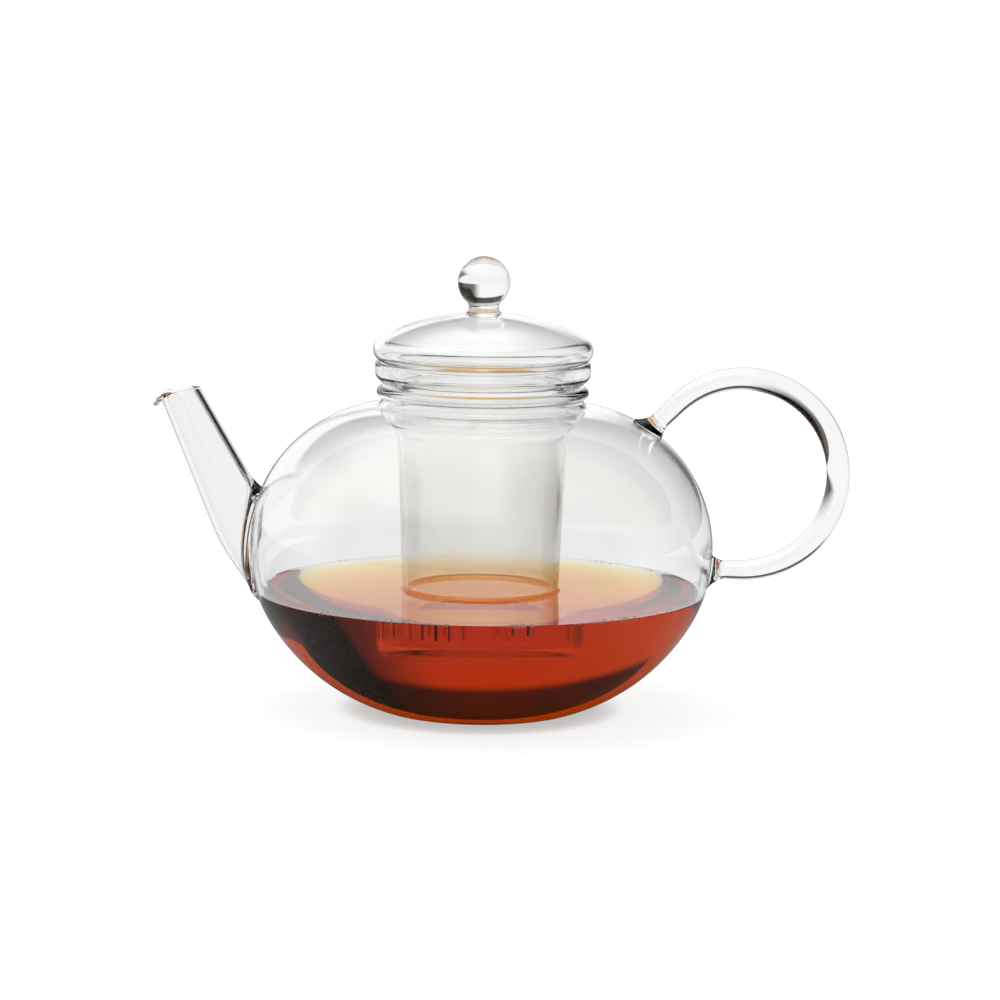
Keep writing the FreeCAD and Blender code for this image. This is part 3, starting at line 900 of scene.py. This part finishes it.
    def spout_place(self, run: Array, turn: Array, inset: float, root: Array | None = None) -> Array:
        """Places round the spout: middle + radius (cos turn, along the underside, and sin turn, across).

        The radius is a cone's, with a flare that dies away from the root as exp(-distance / length).

        Args:
            run: distance down from the mouth.
            turn: angles round the spout, in radians.
            inset: how far inside the spout's outside.
            root: the run at the wall for each line, if the lines flare.

        Returns:
            The places.
        """
        middle, under, _ = self.spout_frame(run)
        radius = self.tip_radius + (self.root_radius - self.tip_radius) * run / self.root_run - inset
        if root is not None:
            radius = radius + self.root_flare * np.exp(np.minimum(run - root, 0) / self.flare_length)
        return middle + radius[..., None] * spoke(turn, under, -CROSS)

    def spout_run(self, turn: Array, inset: float, depth: float, root: Array | None = None) -> Array:
        """The run where each of the spout's lines crosses the wall, at a depth in it."""
        beyond, inside = (np.full_like(turn, run) for run in self.spout_span)
        return self.meeting(lambda run: self.spout_place(run, turn, inset, root), inside, beyond, depth)

    def spout_root(self, turn: Array) -> tuple[Array, Array]:
        """The runs where the spout's outside meets the bulb, before and after it flares."""
        plain = self.spout_run(turn, 0, 0)
        return plain, self.spout_run(turn, 0, 0, plain)

    def spout_bore(self, turn: Array, depth: float) -> Array:
        """The edge of the spout's bore, at a depth in the bulb's wall."""
        return self.spout_place(self.spout_run(turn, self.spout_wall, depth), turn, self.spout_wall)

    def spout(self, finishes: list[Material]) -> Piece:
        """The spout: a bent cone of even wall whose lip curls out and over on the pouring side.

        The wall's middle line runs up the cone and then turns outwards on an arc, by an angle that
        is largest on the pouring side. The two faces lie half a wall each side of it.

        Args:
            finishes: clear and fused glass.

        Returns:
            The piece.
        """
        turn = around(self.spout_columns)
        half = self.spout_wall / 2
        pour = smooth(self.lip_from, 1.0, np.cos(turn))
        mouth = -self.tip_radius * np.cos(turn) * math.tan(math.radians(self.spout_lean - self.mouth_tilt))
        start = mouth + self.lip_arc * pour
        plain, flared = self.spout_root(turn)
        share = ((1 - np.cos(np.linspace(0, math.pi, self.spout_rows, endpoint=False))) / 2)[:, None]
        outside = flared + (start - flared) * share
        bore = self.spout_run(turn, self.spout_wall, 0)
        bore = bore + (start - bore) * share
        every = np.broadcast_to(turn, bore.shape)
        skin = self.spout_place(outside, every, 0, plain)
        lining = self.spout_place(bore, every, self.spout_wall)
        middle = self.spout_place(start, turn, half)
        _, under, towards = self.spout_frame(start)
        out = spoke(turn, under, -CROSS)
        bend = np.radians(self.lip_least + (self.lip_turn - self.lip_least) * pour)
        curl = bend * np.linspace(0, 1, self.lip_rows)[:, None]
        side = spoke(curl, out, -towards)
        path = middle + self.lip_arc * (out - side)
        ahead = spoke(bend, towards, out)
        cap = path[-1] + half * spoke(half_round(), side[-1], ahead)
        shell = Shell()
        index = shell.add(np.concatenate(
            [skin, path + half * side, cap, (path - half * side)[::-1], lining[::-1]]))
        shell.grid(index)
        shell.grid(np.stack([index[-1], index[0]]), Face.FUSED)
        return shell.piece("spout_tube", finishes)

    def rod_frame(self, run: Array) -> tuple[Array, Array]:
        """The handle's middle line: straight out of the belly, round the loop, straight to the shoulder.

        Args:
            run: distance from the start of the loop.

        Returns:
            The places, and the directions away from the loop's middle.
        """
        turn = np.clip(run, 0, self.loop_length) / self.loop - math.pi / 2
        over = np.minimum(run, 0) + np.maximum(run - self.loop_length, 0)
        out, ahead = upright(turn), upright(turn + math.pi / 2)
        middle = np.array([self.loop_centre[0], 0, self.loop_centre[1]])
        return middle + self.loop * out + over[..., None] * ahead, out

    def rod_ends(self) -> list[float]:
        """The ends of the rod's middle line.

        Returns:
            The runs where it meets the wall, at the foot and at the top.
        """
        inside = np.array([-self.loop_span, self.loop_length + self.loop_span])
        beyond = np.array([0.0, self.loop_length])
        return self.meeting(lambda run: self.rod_frame(run)[0], inside, beyond).tolist()

    def rod_place(self, run: Array, turn: Array) -> Array:
        """Places round the rod: it swells as 1 - t^4 to the grip, and spreads to a pad at each end.

        Args:
            run: distance from the start of the loop.
            turn: angles round the rod, in radians.

        Returns:
            The places.
        """
        share = np.clip(2 * (run - self.rod_foot) / (self.rod_top - self.rod_foot) - 1, -1, 1)
        nearest = np.minimum(run - self.rod_foot, self.rod_top - run)
        near = np.clip(1 - nearest / self.pad_length, 0, self.pad_most)
        radius = self.thin_radius + (self.grip_radius - self.thin_radius) * (1 - share**4)
        radius = radius + (self.pad_radius - self.thin_radius) * near**2
        middle, out = self.rod_frame(run)
        return middle + radius[..., None] * spoke(turn, out, CROSS)

    def pad_runs(self, turn: Array) -> list[Array]:
        """Where the rod's surface meets the wall.

        Args:
            turn: angles round the rod, in radians.

        Returns:
            The runs at the foot and at the top.
        """
        ends = (self.rod_foot, -self.pad_span), (self.rod_top, self.pad_span)
        return [self.meeting(lambda run: self.rod_place(run, turn), np.full_like(turn, end + span),
                             np.full_like(turn, end - span)) for end, span in ends]

    def pad_lines(self, turn: Array) -> list[Array]:
        """The edges of the handle's two pads on the wall."""
        return [self.rod_place(run, turn) for run in self.pad_runs(turn)]

    def handle(self, finishes: list[Material]) -> Piece:
        """The handle: a solid rod of changing radius carried along its path, with seams at its ends.

        Args:
            finishes: clear and fused glass.

        Returns:
            The piece.
        """
        turn = around(self.rod_columns)
        low, high = self.pad_runs(turn)
        edge = np.linspace(0, self.pad_share, self.pad_rows, endpoint=False)
        middle = np.linspace(self.pad_share, 1 - self.pad_share, self.rod_rows)
        run = low + (high - low) * np.concatenate([edge, middle, 1 - edge[::-1]])[:, None]
        places = self.rod_place(run, np.broadcast_to(turn, run.shape))
        shell = Shell()
        index = shell.add(places)
        poles = shell.add(np.stack([places[0].mean(0), places[-1].mean(0)]))
        shell.grid(index)
        shell.fan(index[0], int(poles[0]), closing=False, face=Face.FUSED)
        shell.fan(index[-1], int(poles[1]), closing=True, face=Face.FUSED)
        return shell.piece("handle_rod", finishes)

    def build(self, glass: Material, seam: Material, wet: Material) -> None:
        """Makes the three pieces in place of their solids.

        Args:
            glass: the finish above the tea.
            seam: the finish where pieces are fused.
            wet: the finish in the tea.
        """
        settle(self.body([glass, seam, wet]), Body.POT, "pot_body")
        settle(self.spout([glass, seam]), Body.POT, "spout")
        settle(self.handle([glass, seam]), Body.POT, "handle")


@dataclass
class Infuser:
    """The slotted glass cup that hangs in the neck by a flared collar."""

    bead: tuple
    neck_bore: float
    rim_bead: float
    wall: float = 2.0
    fit: float = 0.5
    seat_gap: float = 0.3
    seat_angle: float = 45.0
    cup_depth: float = 88.3
    cup_corner: float = 4.0
    cup_lean: float = 2.2
    collar_depth: float = 17.3
    collar_step: float = 3.7
    collar_arc: float = 6.0
    flange_reach: float = 4.8
    flange_arc: float = 3.2
    flange_length: float = 3.4
    slit_count: int = 40
    slit_width: float = 0.8
    slit_low: float = 4.2
    slit_high: float = 10.0
    slit_steps: int = 6
    columns: int = 6
    crease: float = 50.0

    def __post_init__(self) -> None:
        """Works out the places that the lid and the outline share."""
        slope = math.radians(self.seat_angle)
        self.base = self.bead[1] - self.cup_depth
        self.collar = self.neck_bore - self.fit
        self.shoulder = (self.collar - self.collar_step, self.bead[1] - self.collar_depth)
        rise = (self.seat_gap - self.fit * math.sin(slope)) / math.cos(slope)
        self.seat = (self.bead[0] - self.fit, self.bead[1] + rise)
        self.flange_radius = self.neck_bore + self.flange_reach
        across = self.flange_radius - self.flange_arc
        stand_off = self.rim_bead + self.seat_gap + self.flange_arc
        lift = ((across - self.bead[0]) * math.sin(slope) + stand_off) / math.cos(slope)
        self.edge = (across, self.bead[1] + lift)
        self.rim = (self.flange_radius - self.wall / 2, self.edge[1] + self.flange_length)

    def side(self, inset: float) -> tuple[tuple, tuple]:
        """The cup's sloping side.

        Args:
            inset: nothing for the outside, the wall for the inside.

        Returns:
            The centre of its bottom corner, and its top point.
        """
        lean = math.radians(self.cup_lean)
        top = (self.shoulder[0] - inset * math.cos(lean), self.shoulder[1] + inset * math.sin(lean))
        corner = self.cup_corner - inset
        corner_up = self.base + inset + corner
        fall = top[1] - corner_up + corner * math.sin(lean)
        return (top[0] - fall * math.tan(lean) - corner * math.cos(lean), corner_up), top

    def on_side(self, top: tuple, lift: float) -> tuple[float, float]:
        """The point of a sloping side with that top, at a height above the cup's bottom."""
        up = self.base + lift
        return top[0] - (top[1] - up) * math.tan(math.radians(self.cup_lean)), up

    def half(self, inset: float) -> tuple[Array, int]:
        """One face of the cup, from the middle of its bottom to the top of its flange.

        Args:
            inset: nothing for the outside, the wall for the inside.

        Returns:
            The rows, and the row at the foot of the slits.
        """
        corner, top = self.side(inset)
        arc, lean, slope = self.collar_arc, math.radians(self.cup_lean), math.radians(self.seat_angle)
        swell = (self.shoulder[0] + arc * math.cos(lean), self.shoulder[1] - arc * math.sin(lean))
        ease_across = self.collar - arc
        ease = (ease_across, swell[1] + leg(2 * arc, ease_across - swell[0]))
        turn = bearing(swell, ease)
        flange = self.flange_arc - inset
        s = Outline(0, self.base + inset).line(corner[0], self.base + inset, 12)
        s.arc(corner, self.cup_corner - inset, -90, -self.cup_lean, 6)
        s.line(*self.on_side(top, self.slit_low)).mark("slit")
        s.line(*self.on_side(top, self.slit_high), self.slit_steps).line(*top, 30)
        s.arc(swell, arc + inset, 180 - self.cup_lean, turn, 8)
        s.arc(ease, arc - inset, turn - 180, 0, 8).line(self.collar - inset, self.seat[1], 4)
        s.arc(self.seat, self.rim_bead + inset, 180, 90 + self.seat_angle, 6)
        s.line(self.edge[0] + flange * math.sin(slope), self.edge[1] - flange * math.cos(slope), 3)
        s.arc(self.edge, flange, self.seat_angle - 90, 0, 6).line(self.edge[0] + flange, self.rim[1], 3)
        return s.rows(), s.marks["slit"]

    def build(self, glass: Material, wet: Material, shore: float) -> None:
        """Turns the cup's two faces, leaves the slits open and closes their sides.

        Args:
            glass: the finish above the tea.
            wet: the finish in the tea.
            shore: the height of the tea on the cup.
        """
        outer, low = self.half(0)
        inner, _ = self.half(self.wall)
        edge = half_round()
        rim = np.array(self.rim) + self.wall / 2 * np.concatenate([np.cos(edge), np.sin(edge)], 1)
        rows = np.concatenate([outer, rim, inner[::-1]])
        pitch = 2 * math.pi / self.slit_count
        open_half = self.slit_width / 2 / self.side(0)[0][0]
        rest = np.linspace(open_half, pitch - open_half, self.columns)[:-1]
        angles = (around(self.slit_count)[:, None] + np.concatenate([[-open_half], rest])).ravel()
        shell = Shell()
        index = shell.closed_turn(rows, angles, Face.WET, Face.WET)
        high = low + self.slit_steps
        first = np.arange(self.slit_count) * self.columns
        keep = np.ones((len(index) - 1, len(angles)), bool)
        flip = len(rows) - 1
        for start, stop in ((low - 1, high - 1), (flip - high - 1, flip - low - 1)):
            keep[start:stop, first] = False
        deep = ((rows[1:-2, 1] + rows[2:-1, 1]) / 2 < shore)[:, None]
        shell.grid(index, keep=keep & ~deep)
        shell.grid(index, Face.WET, keep & deep)
        faces = index[low - 1:high], index[flip - high - 1:flip - low][::-1]
        out, into = (np.concatenate([face[:, first], face[::-1, first + 1]]) for face in faces)
        sides = [out, np.roll(out, -1, axis=0), np.roll(into, -1, axis=0), into]
        shell.put(np.stack(sides, -1).reshape(-1, 4), Face.WET)
        piece = shell.piece("infuser_cup", [glass, glass, wet], self.crease)
        settle(piece, Body.INFUSER, "infuser")


@dataclass
class Lid:
    """The low hollow dome with a skirt, and the solid ball knob fused to its crown."""

    rim: tuple
    flange_radius: float
    collar_bore: float
    seat_gap: float = 0.3
    rest_wall: float = 2.0
    overhang: float = 0.9
    edge_arc: float = 5.2
    crown_radius: float = 85.0
    wall: float = 2.0
    skirt_fit: float = 0.8
    skirt_depth: float = 7.5
    skirt_fillet: float = 1.5
    ball_radius: float = 10.1
    ball_rise: float = 11.6
    stem_radius: float = 5.8
    stem_fillet: float = 2.8
    columns: int = 168
    knob_columns: int = 96

    def __post_init__(self) -> None:
        """Works out the centres of the edge, the crown, the ball and the waist under it."""
        self.skirt = self.collar_bore - self.skirt_fit
        across = self.flange_radius + self.overhang - self.edge_arc
        apart = self.edge_arc + self.rest_wall / 2 + self.seat_gap
        self.bulge = (across, self.rim[1] + leg(apart, self.rim[0] - across))
        self.crown = (0.0, self.bulge[1] - leg(self.crown_radius - self.edge_arc, across))
        self.top = self.crown[1] + self.crown_radius
        self.ball = (0.0, self.top + self.ball_rise)
        waist = self.stem_radius + self.stem_fillet
        self.waist = (waist, self.ball[1] - leg(self.ball_radius + self.stem_fillet, waist))
        gap = math.hypot(waist, self.waist[1] - self.crown[1])
        swing = (gap**2 + self.stem_fillet**2 - self.crown_radius**2) / (2 * gap * self.stem_fillet)
        self.foot_angle = (bearing(self.waist, self.crown) - math.degrees(math.acos(swing))) % 360
        foot = math.radians(self.foot_angle)
        end = (waist + self.stem_fillet * math.cos(foot), self.waist[1] + self.stem_fillet * math.sin(foot))
        self.seam_angle = bearing(self.crown, end)

    def dome(self, finishes: list[Material]) -> Piece:
        """The dome's wall, from the middle of its underside round the skirt to its crown.

        Args:
            finishes: clear and fused glass.

        Returns:
            The piece.
        """
        edge_angle = bearing(self.crown, self.bulge)
        under = self.bulge[1] - self.edge_arc
        curl = (self.skirt + self.skirt_fillet, under - self.skirt_fillet)
        half = self.wall / 2
        hem = (self.skirt - half, under - self.skirt_depth + half)
        s = Outline(0, self.top - self.wall)
        s.arc(self.crown, self.crown_radius - self.wall, 90, edge_angle, 40)
        s.arc(self.bulge, self.edge_arc - self.wall, edge_angle, -90, 14).line(curl[0], under + self.wall, 4)
        s.arc(curl, self.skirt_fillet + self.wall, 90, 180, 8).line(self.skirt - self.wall, hem[1], 5)
        s.arc(hem, half, 180, 360, 10).line(self.skirt, curl[1], 5)
        s.arc(curl, self.skirt_fillet, 180, 90, 6).line(self.bulge[0], under, 4)
        s.arc(self.bulge, self.edge_arc, -90, edge_angle, 18)
        s.arc(self.crown, self.crown_radius, edge_angle, self.seam_angle, 36).mark("seam")
        s.arc(self.crown, self.crown_radius, self.seam_angle, 90, 6)
        shell = Shell()
        shell.parted_turn(s.rows(), self.columns, s.marks["seam"], Face.OPEN, Face.FUSED)
        return shell.piece("lid_shell", finishes)

    def knob(self, finishes: list[Material]) -> Piece:
        """The knob: a waisted stem and a ball, standing on the crown.

        Args:
            finishes: clear and fused glass.

        Returns:
            The piece.
        """
        up = bearing(self.waist, self.ball) % 360
        s = Outline(0, self.top).arc(self.crown, self.crown_radius, 90, self.seam_angle, 6).mark("seam")
        s.arc(self.waist, self.stem_fillet, self.foot_angle, up, 14)
        s.arc(self.ball, self.ball_radius, up - 180, 90, 60)
        shell = Shell()
        shell.parted_turn(s.rows(), self.knob_columns, s.marks["seam"], Face.FUSED, Face.OPEN)
        return shell.piece("lid_ball_knob", finishes)

    def build(self, glass: Material, seam: Material) -> None:
        """Makes the two pieces in place of their solids."""
        settle(self.dome([glass, seam]), Body.LID, "lid_dome")
        settle(self.knob([glass, seam]), Body.LID, "lid_knob")


@dataclass
class Brew:
    """The tea in the pot, with its meniscus on the glass and a few bubbles at its edge.

    A group of bubbles has its place round the pot in radians, how many there are, and the largest radius.
    """

    pot: Pot
    cup_outside: float
    cup_inside: float
    climb: float = 0.5
    overlap: float = 0.12
    reach: float = 1.3
    shore_width: float = 6.0
    cup_climb: float = 1.2
    cup_reach: float = 0.5
    cup_bead: float = 0.9
    cup_sink: float = 0.3
    cup_rows: int = 12
    columns: int = 168
    bubbles: tuple = (
        (-2.3, 9, 0.7), (-2.05, 7, 0.6), (-1.9, 8, 0.7), (-1.72, 6, 0.6), (-1.38, 14, 0.9), (-1.15, 8, 0.7),
        (-1.02, 12, 0.8), (-0.85, 9, 0.8), (-0.66, 7, 0.7), (0.62, 10, 0.7), (0.95, 9, 0.7), (1.8, 7, 0.7),
        (2.3, 5, 0.6))
    bubble_spread: float = 0.045
    bubble_sizes: tuple = (0.35, 1.0)
    bubble_ease: float = 1.5
    bubble_stray: float = 1.2
    bubble_float: float = 0.1
    bubble_rises: tuple = (-55, -20, 20, 55)
    bubble_columns: int = 9
    bubble_seed: int = 7

    def __post_init__(self) -> None:
        """Sets the level so that the meniscus ends where the pot's wet glass does."""
        self.level = self.pot.wet_height - self.climb
        self.wall = self.wall_radius(self.level)

    def wall_radius(self, up: float) -> float:
        """The radius of the pot's inside at a height on the shoulder's arc."""
        arc = self.pot.shoulder_arc - self.pot.wall + self.overlap
        return self.pot.belly[0] + leg(arc, up - self.pot.belly[1])

    def surface(self, radius: Array) -> Array:
        """The height of the tea: level, and a meniscus that dies away from the wall as exp(-d / reach)."""
        return self.level + self.climb * np.exp(-(self.wall - radius) / self.reach)

    def tea(self, finish: Material) -> Piece:
        """The tea: the pot's inside up to the level, closed by the surface.

        Args:
            finish: the tea's material.

        Returns:
            The piece.
        """
        pot, inset, floor = self.pot, self.pot.wall - self.overlap, self.pot.floor - self.overlap
        foot, foot_angle = pot.foot_place(inset, floor)
        arc = pot.shoulder_arc - inset
        rise = math.degrees(math.asin((self.level + self.climb - pot.belly[1]) / arc))
        s = Outline(0, floor).line(foot[0], floor, 10).arc(foot, pot.foot_fillet, -90, foot_angle, 12)
        s.arc(pot.bowl, pot.bowl_arc - inset, foot_angle, -pot.bowl_angle, 40)
        s.arc(pot.belly, arc, -pot.bowl_angle, rise, 14).mark("shore")
        radius = np.concatenate([self.wall - np.linspace(0, self.shore_width, 16),
                                 np.linspace(self.wall - self.shore_width, 0, 40)[1:]])
        rows = np.concatenate([s.rows(), np.stack([radius, self.surface(radius)], -1)])
        shell = Shell()
        shell.parted_turn(rows, self.columns, s.marks["shore"], Face.WET, Face.OPEN)
        return shell.piece("tea", [finish])

    def cling(self, finish: Material) -> Piece:
        """The tea that clings to the cup: a fillet outside it and one inside.

        Each falls away from the glass as exp(-d / reach), and closes just under the tea.

        Args:
            finish: the drops' material.

        Returns:
            The piece.
        """
        away = np.linspace(0, self.cup_bead, self.cup_rows)
        up = self.level + self.cup_climb * np.exp(-away / self.cup_reach)
        height = np.concatenate([np.full(self.cup_rows, self.level - self.cup_sink), up[::-1]])
        shell = Shell()
        for radius, side in ((self.cup_outside, 1), (self.cup_inside, -1)):
            across = radius + side * np.concatenate([away, away[::-1]])
            index = shell.turn(np.stack([across, height], -1)[::side], around(self.columns))
            shell.grid(np.concatenate([index, index[:1]]))
        return shell.piece("tea_on_cup", [finish])

    def froth(self, finish: Material) -> Piece:
        """Bubbles in little groups along the waterline: one small ball, placed and sized by arrays.

        Args:
            finish: the film's material.

        Returns:
            The piece.
        """
        chance = np.random.default_rng(self.bubble_seed)
        groups = np.array(self.bubbles)
        count = groups[:, 1].astype(int)
        whole = count.sum()
        turn = np.repeat(groups[:, 0], count) + chance.normal(0, self.bubble_spread, whole)
        size = np.repeat(groups[:, 2], count) * chance.uniform(*self.bubble_sizes, whole) ** self.bubble_ease
        radius = self.wall - self.overlap - size - chance.uniform(0, self.bubble_stray, whole) ** 2
        up = self.surface(radius) + size * self.bubble_float
        middles = np.stack([radius * np.cos(turn), radius * np.sin(turn), up], -1)
        rise, circle = np.radians(self.bubble_rises)[:, None], around(self.bubble_columns)
        ball = np.stack(np.broadcast_arrays(
            np.cos(rise) * np.cos(circle), np.cos(rise) * np.sin(circle), np.sin(rise)), -1)
        shell = Shell()
        index = shell.add(middles[:, None, None] + size[:, None, None, None] * ball)
        poles = shell.add(middles[:, None] + size[:, None, None] * np.array([[0, 0, -1.0], [0, 0, 1.0]]))
        after = np.roll(index, -1, axis=2)
        shell.put(np.stack([index[:, :-1], after[:, :-1], after[:, 1:], index[:, 1:]], -1).reshape(-1, 4))
        low, high = (np.broadcast_to(poles[:, end, None], index[:, 0].shape) for end in (0, 1))
        shell.put(np.stack([low, after[:, 0], index[:, 0]], -1).reshape(-1, 3))
        shell.put(np.stack([index[:, -1], after[:, -1], high], -1).reshape(-1, 3))
        return shell.piece("tea_bubbles", [finish])

    def build(self, tea: Material, film: Material, drops: Material) -> None:
        """Makes the tea and its bubbles, which stay in the pot, and the tea on the cup, which goes with it.

        Args:
            tea: the tea's finish.
            film: the bubbles' finish.
            drops: the finish of the tea on the cup.
        """
        settle(self.tea(tea), Body.POT)
        settle(self.froth(film), Body.POT)
        settle(self.cling(drops), Body.INFUSER)


@dataclass
class Studio:
    """A white table and backdrop, soft light, darker sides for the glass's edges, and the camera.

    A band is where a brightness begins and ends its change: along the table in metres, or in the
    surroundings along one part of a direction.
    """

    eye: tuple = (7.23, -1433.8, 283.55)
    aim: tuple = (7.23, 0.0, 82.0)
    roll: float = 0.75
    sensor: float = 36.0
    lens: float = 3722 * 36 / 1000
    view_end: float = 50.0

    table_rings: tuple = (400.0, 6000.0)
    table_drop: float = 0.1
    table_columns: int = 64
    table_shade: float = 0.22
    table_grey: float = 0.3
    table_glow: float = 0.97
    # Painted contact shadow: how far the ambient occlusion looks, and the range of glow it dims the table
    # through.
    contact_shadow_reach: float = 0.009
    contact_shadow_band: tuple = (0.0, 0.9)
    contact_shadow_glow: tuple = (0.5, 0.86)
    # Painted shade seen through the glass: where the table turns dark to the right, and where it is bright
    # again far behind.
    dark_right_band: tuple = (0.2, 0.38)
    beyond_band: tuple = (0.38, 0.6)

    dark: float = 0.04
    dusk: float = 0.08
    room: float = 0.08
    screen_slope: tuple = (1.0, 0.0, 0.4)
    screen_band: tuple = (0.37, 0.415)
    low_band: tuple = (0.03, 0.18)
    far_band: tuple = (0.6, 0.75)
    sheet_band: tuple = (0.32, 0.37)
    left_band: tuple = (-0.75, -0.5)
    back_band: tuple = (-0.3, 0.1)
    top_band: tuple = (0.5, 0.8)
    top_glow: float = 1.25
    edge_band: tuple = (0.06, 0.3)
    edge_dim: float = 0.85

    lamp_size: tuple = (1.2, 0.8)
    lamp_energy: float = 8.0
    lamp_place: tuple = (-0.2, 0.1, 1.4)
    lamp_aim: tuple = (0.0, 0.0, 0.06)
    bounces: int = 32
    glossy_bounces: int = 12

    def point(self, thing: Piece, eye: Vector, aim: Vector, roll: float = 0.0) -> None:
        """Puts a camera or a lamp in its place and turns it to what it points at.

        Args:
            thing: the camera or the lamp.
            eye: its place in metres.
            aim: the place that it points at.
            roll: its turn about its own axis, in degrees.
        """
        thing.location = eye
        thing.rotation_mode = "QUATERNION"
        turn = Quaternion((0, 0, 1), math.radians(roll))
        thing.rotation_quaternion = (aim - eye).to_track_quat("-Z", "Y") @ turn

    def camera(self) -> None:
        """A long lens a little above the pot, turned by a trace about its own axis."""
        data = bpy.data.cameras.new("camera")
        data.lens, data.sensor_width, data.clip_end = self.lens, self.sensor, self.view_end
        camera = stand("camera", data)
        self.point(camera, Vector(self.eye) * MM, Vector(self.aim) * MM, self.roll)
        bpy.context.scene.camera = camera

    def table(self) -> None:
        """A white table top whose diffuse part keeps the pot's shadow, with a painted contact shadow that is
        darkest where the foot stands on it, and painted shade on its right as seen through the glass.
        """
        paint = Paint(bpy.data.materials.new("white_table"))
        path = paint.node("LightPath").outputs
        # Painted contact shadow: ambient occlusion dims the table's glow close to the pot's foot.
        painted_contact_shadow = paint.node("AmbientOcclusion", Distance=self.contact_shadow_reach).outputs["AO"]
        glow = paint.ramp(painted_contact_shadow, *self.contact_shadow_band, *self.contact_shadow_glow)
        shade, plain = (paint.add("BsdfDiffuse", Color=(grey, grey, grey, 1))
                        for grey in (self.table_shade, self.table_grey))
        white = paint.add("AddShader", shade, paint.add("Emission", Color=WHITE, Strength=glow))
        axes = paint.axes(paint.place())
        # Painted shade: to rays through the glass the table glows white, but is painted dark to its right,
        # short of the far part behind.
        painted_dark_right = paint.ramp(axes["X"], *self.dark_right_band, self.table_glow, self.dusk)
        beyond = paint.ramp(axes["Y"], *self.beyond_band, 0.0, self.table_glow)
        soft = paint.add("Emission", Color=WHITE, Strength=paint.larger(painted_dark_right, beyond))
        through = paint.mix(path["Is Transmission Ray"], plain, soft)
        finish = paint.done(Surface=paint.mix(path["Is Camera Ray"], through, white))
        shell = Shell()
        rings = np.array([[radius, -self.table_drop] for radius in self.table_rings])
        index = shell.turn(rings, around(self.table_columns))
        pole = shell.add(np.array([[0, 0, -self.table_drop]]))
        shell.grid(index[::-1])
        shell.fan(index[0], int(pole[0]), closing=True)
        shell.piece("table_top", [finish])

    def surroundings(self) -> None:
        """White to the camera; to the glass, a low white sheet behind, dark above and to the right of it,
        a soft box overhead and a dim room in front."""
        paint = Paint(bpy.data.worlds.new("studio"))
        way = paint.node("TexCoord").outputs["Generated"]
        axes = paint.axes(way)
        slant = paint.node("VectorMath", way, self.screen_slope)
        slant.operation = "DOT_PRODUCT"
        right = paint.ramp(slant.outputs["Value"], *self.screen_band, 1.0, self.dark)
        low = paint.ramp(axes["Z"], *self.low_band, 1.0, 0.0)
        far = paint.ramp(axes["X"], *self.far_band, 1.0, self.dark)
        above = paint.ramp(axes["Z"], *self.sheet_band, 1.0, self.dusk)
        left = paint.ramp(axes["X"], *self.left_band, 1.0, 0.0)
        back = paint.ramp(axes["Y"], *self.back_band, self.room, 1.0)
        top = paint.ramp(axes["Z"], *self.top_band, 0.0, self.top_glow)
        sheet = paint.times(paint.larger(right, low), paint.times(far, paint.larger(above, left)))
        glow = paint.larger(paint.times(sheet, back), top)
        path = paint.node("LightPath").outputs
        edge = paint.ramp(axes["X"], *self.edge_band, 0.0, self.edge_dim)
        shine = paint.maths("SUBTRACT", 1.0, paint.times(edge, path["Is Glossy Ray"]))
        glow = paint.larger(paint.times(glow, shine), path["Is Camera Ray"])
        light = paint.add("Background", Color=WHITE, Strength=glow)
        bpy.context.scene.world = paint.done("OutputWorld", Surface=light)

    def lamp(self) -> None:
        """One wide soft lamp overhead."""
        data = bpy.data.lights.new("soft_box", "AREA")
        data.shape, data.energy = "RECTANGLE", self.lamp_energy
        data.size, data.size_y = self.lamp_size
        lamp = stand("soft_box", data)
        lamp.visible_glossy = lamp.visible_transmission = False
        self.point(lamp, Vector(self.lamp_place), Vector(self.lamp_aim))

    def build(self) -> None:
        """Sets up the stage and how the picture is shown."""
        scene = bpy.context.scene
        scene.view_settings.view_transform = "Standard"
        scene.cycles.max_bounces = self.bounces
        scene.cycles.transmission_bounces = self.bounces
        scene.cycles.transparent_max_bounces = self.bounces
        scene.cycles.glossy_bounces = self.glossy_bounces
        self.camera()
        self.table()
        self.surroundings()
        self.lamp()


def settle(piece: Piece, body: Body, node: str | None = None) -> None:
    """Makes a piece ride on its body, and stand for a solid if it has one.

    Args:
        piece: the object.
        body: what it moves with.
        node: the solid that it replaces.
    """
    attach(piece, body.value)
    if node:
        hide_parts(node)
    LOG.info("%s: %d vertices", piece.name, len(piece.data.vertices))


def main() -> None:
    """Builds the teapot piece by piece, then the studio round it."""
    logging.basicConfig(level=logging.INFO, format="%(name)s: %(message)s")
    seam = FusedSeam().material()
    pot = Pot()
    wet = ClearGlass("wet_glass", ior=1.103, wave_depth=STILL).material()
    pot.build(ClearGlass("pot_glass").material(), seam, wet)
    infuser = Infuser(pot.bead, pot.neck_bore, pot.rim_bead)
    soaked = ClearGlass("soaked_glass", ior=1.16, wave_depth=STILL).material()
    infuser.build(MistedGlass("infuser_glass").material(), soaked, pot.wet_height)
    lid = Lid(infuser.rim, infuser.flange_radius, infuser.collar - infuser.wall)
    lid.build(ClearGlass("lid_glass").material(), seam)
    brew = Brew(pot, cup_outside=30.33, cup_inside=28.45)
    drops = ClearGlass("tea_drops", tint=(1.0, 0.70, 0.22, 1), ior=1.333, wave_depth=STILL).material()
    brew.build(BlackTea().material(), BubbleFilm().material(), drops)
    Studio().build()


if __name__ == "__main__":
    main()
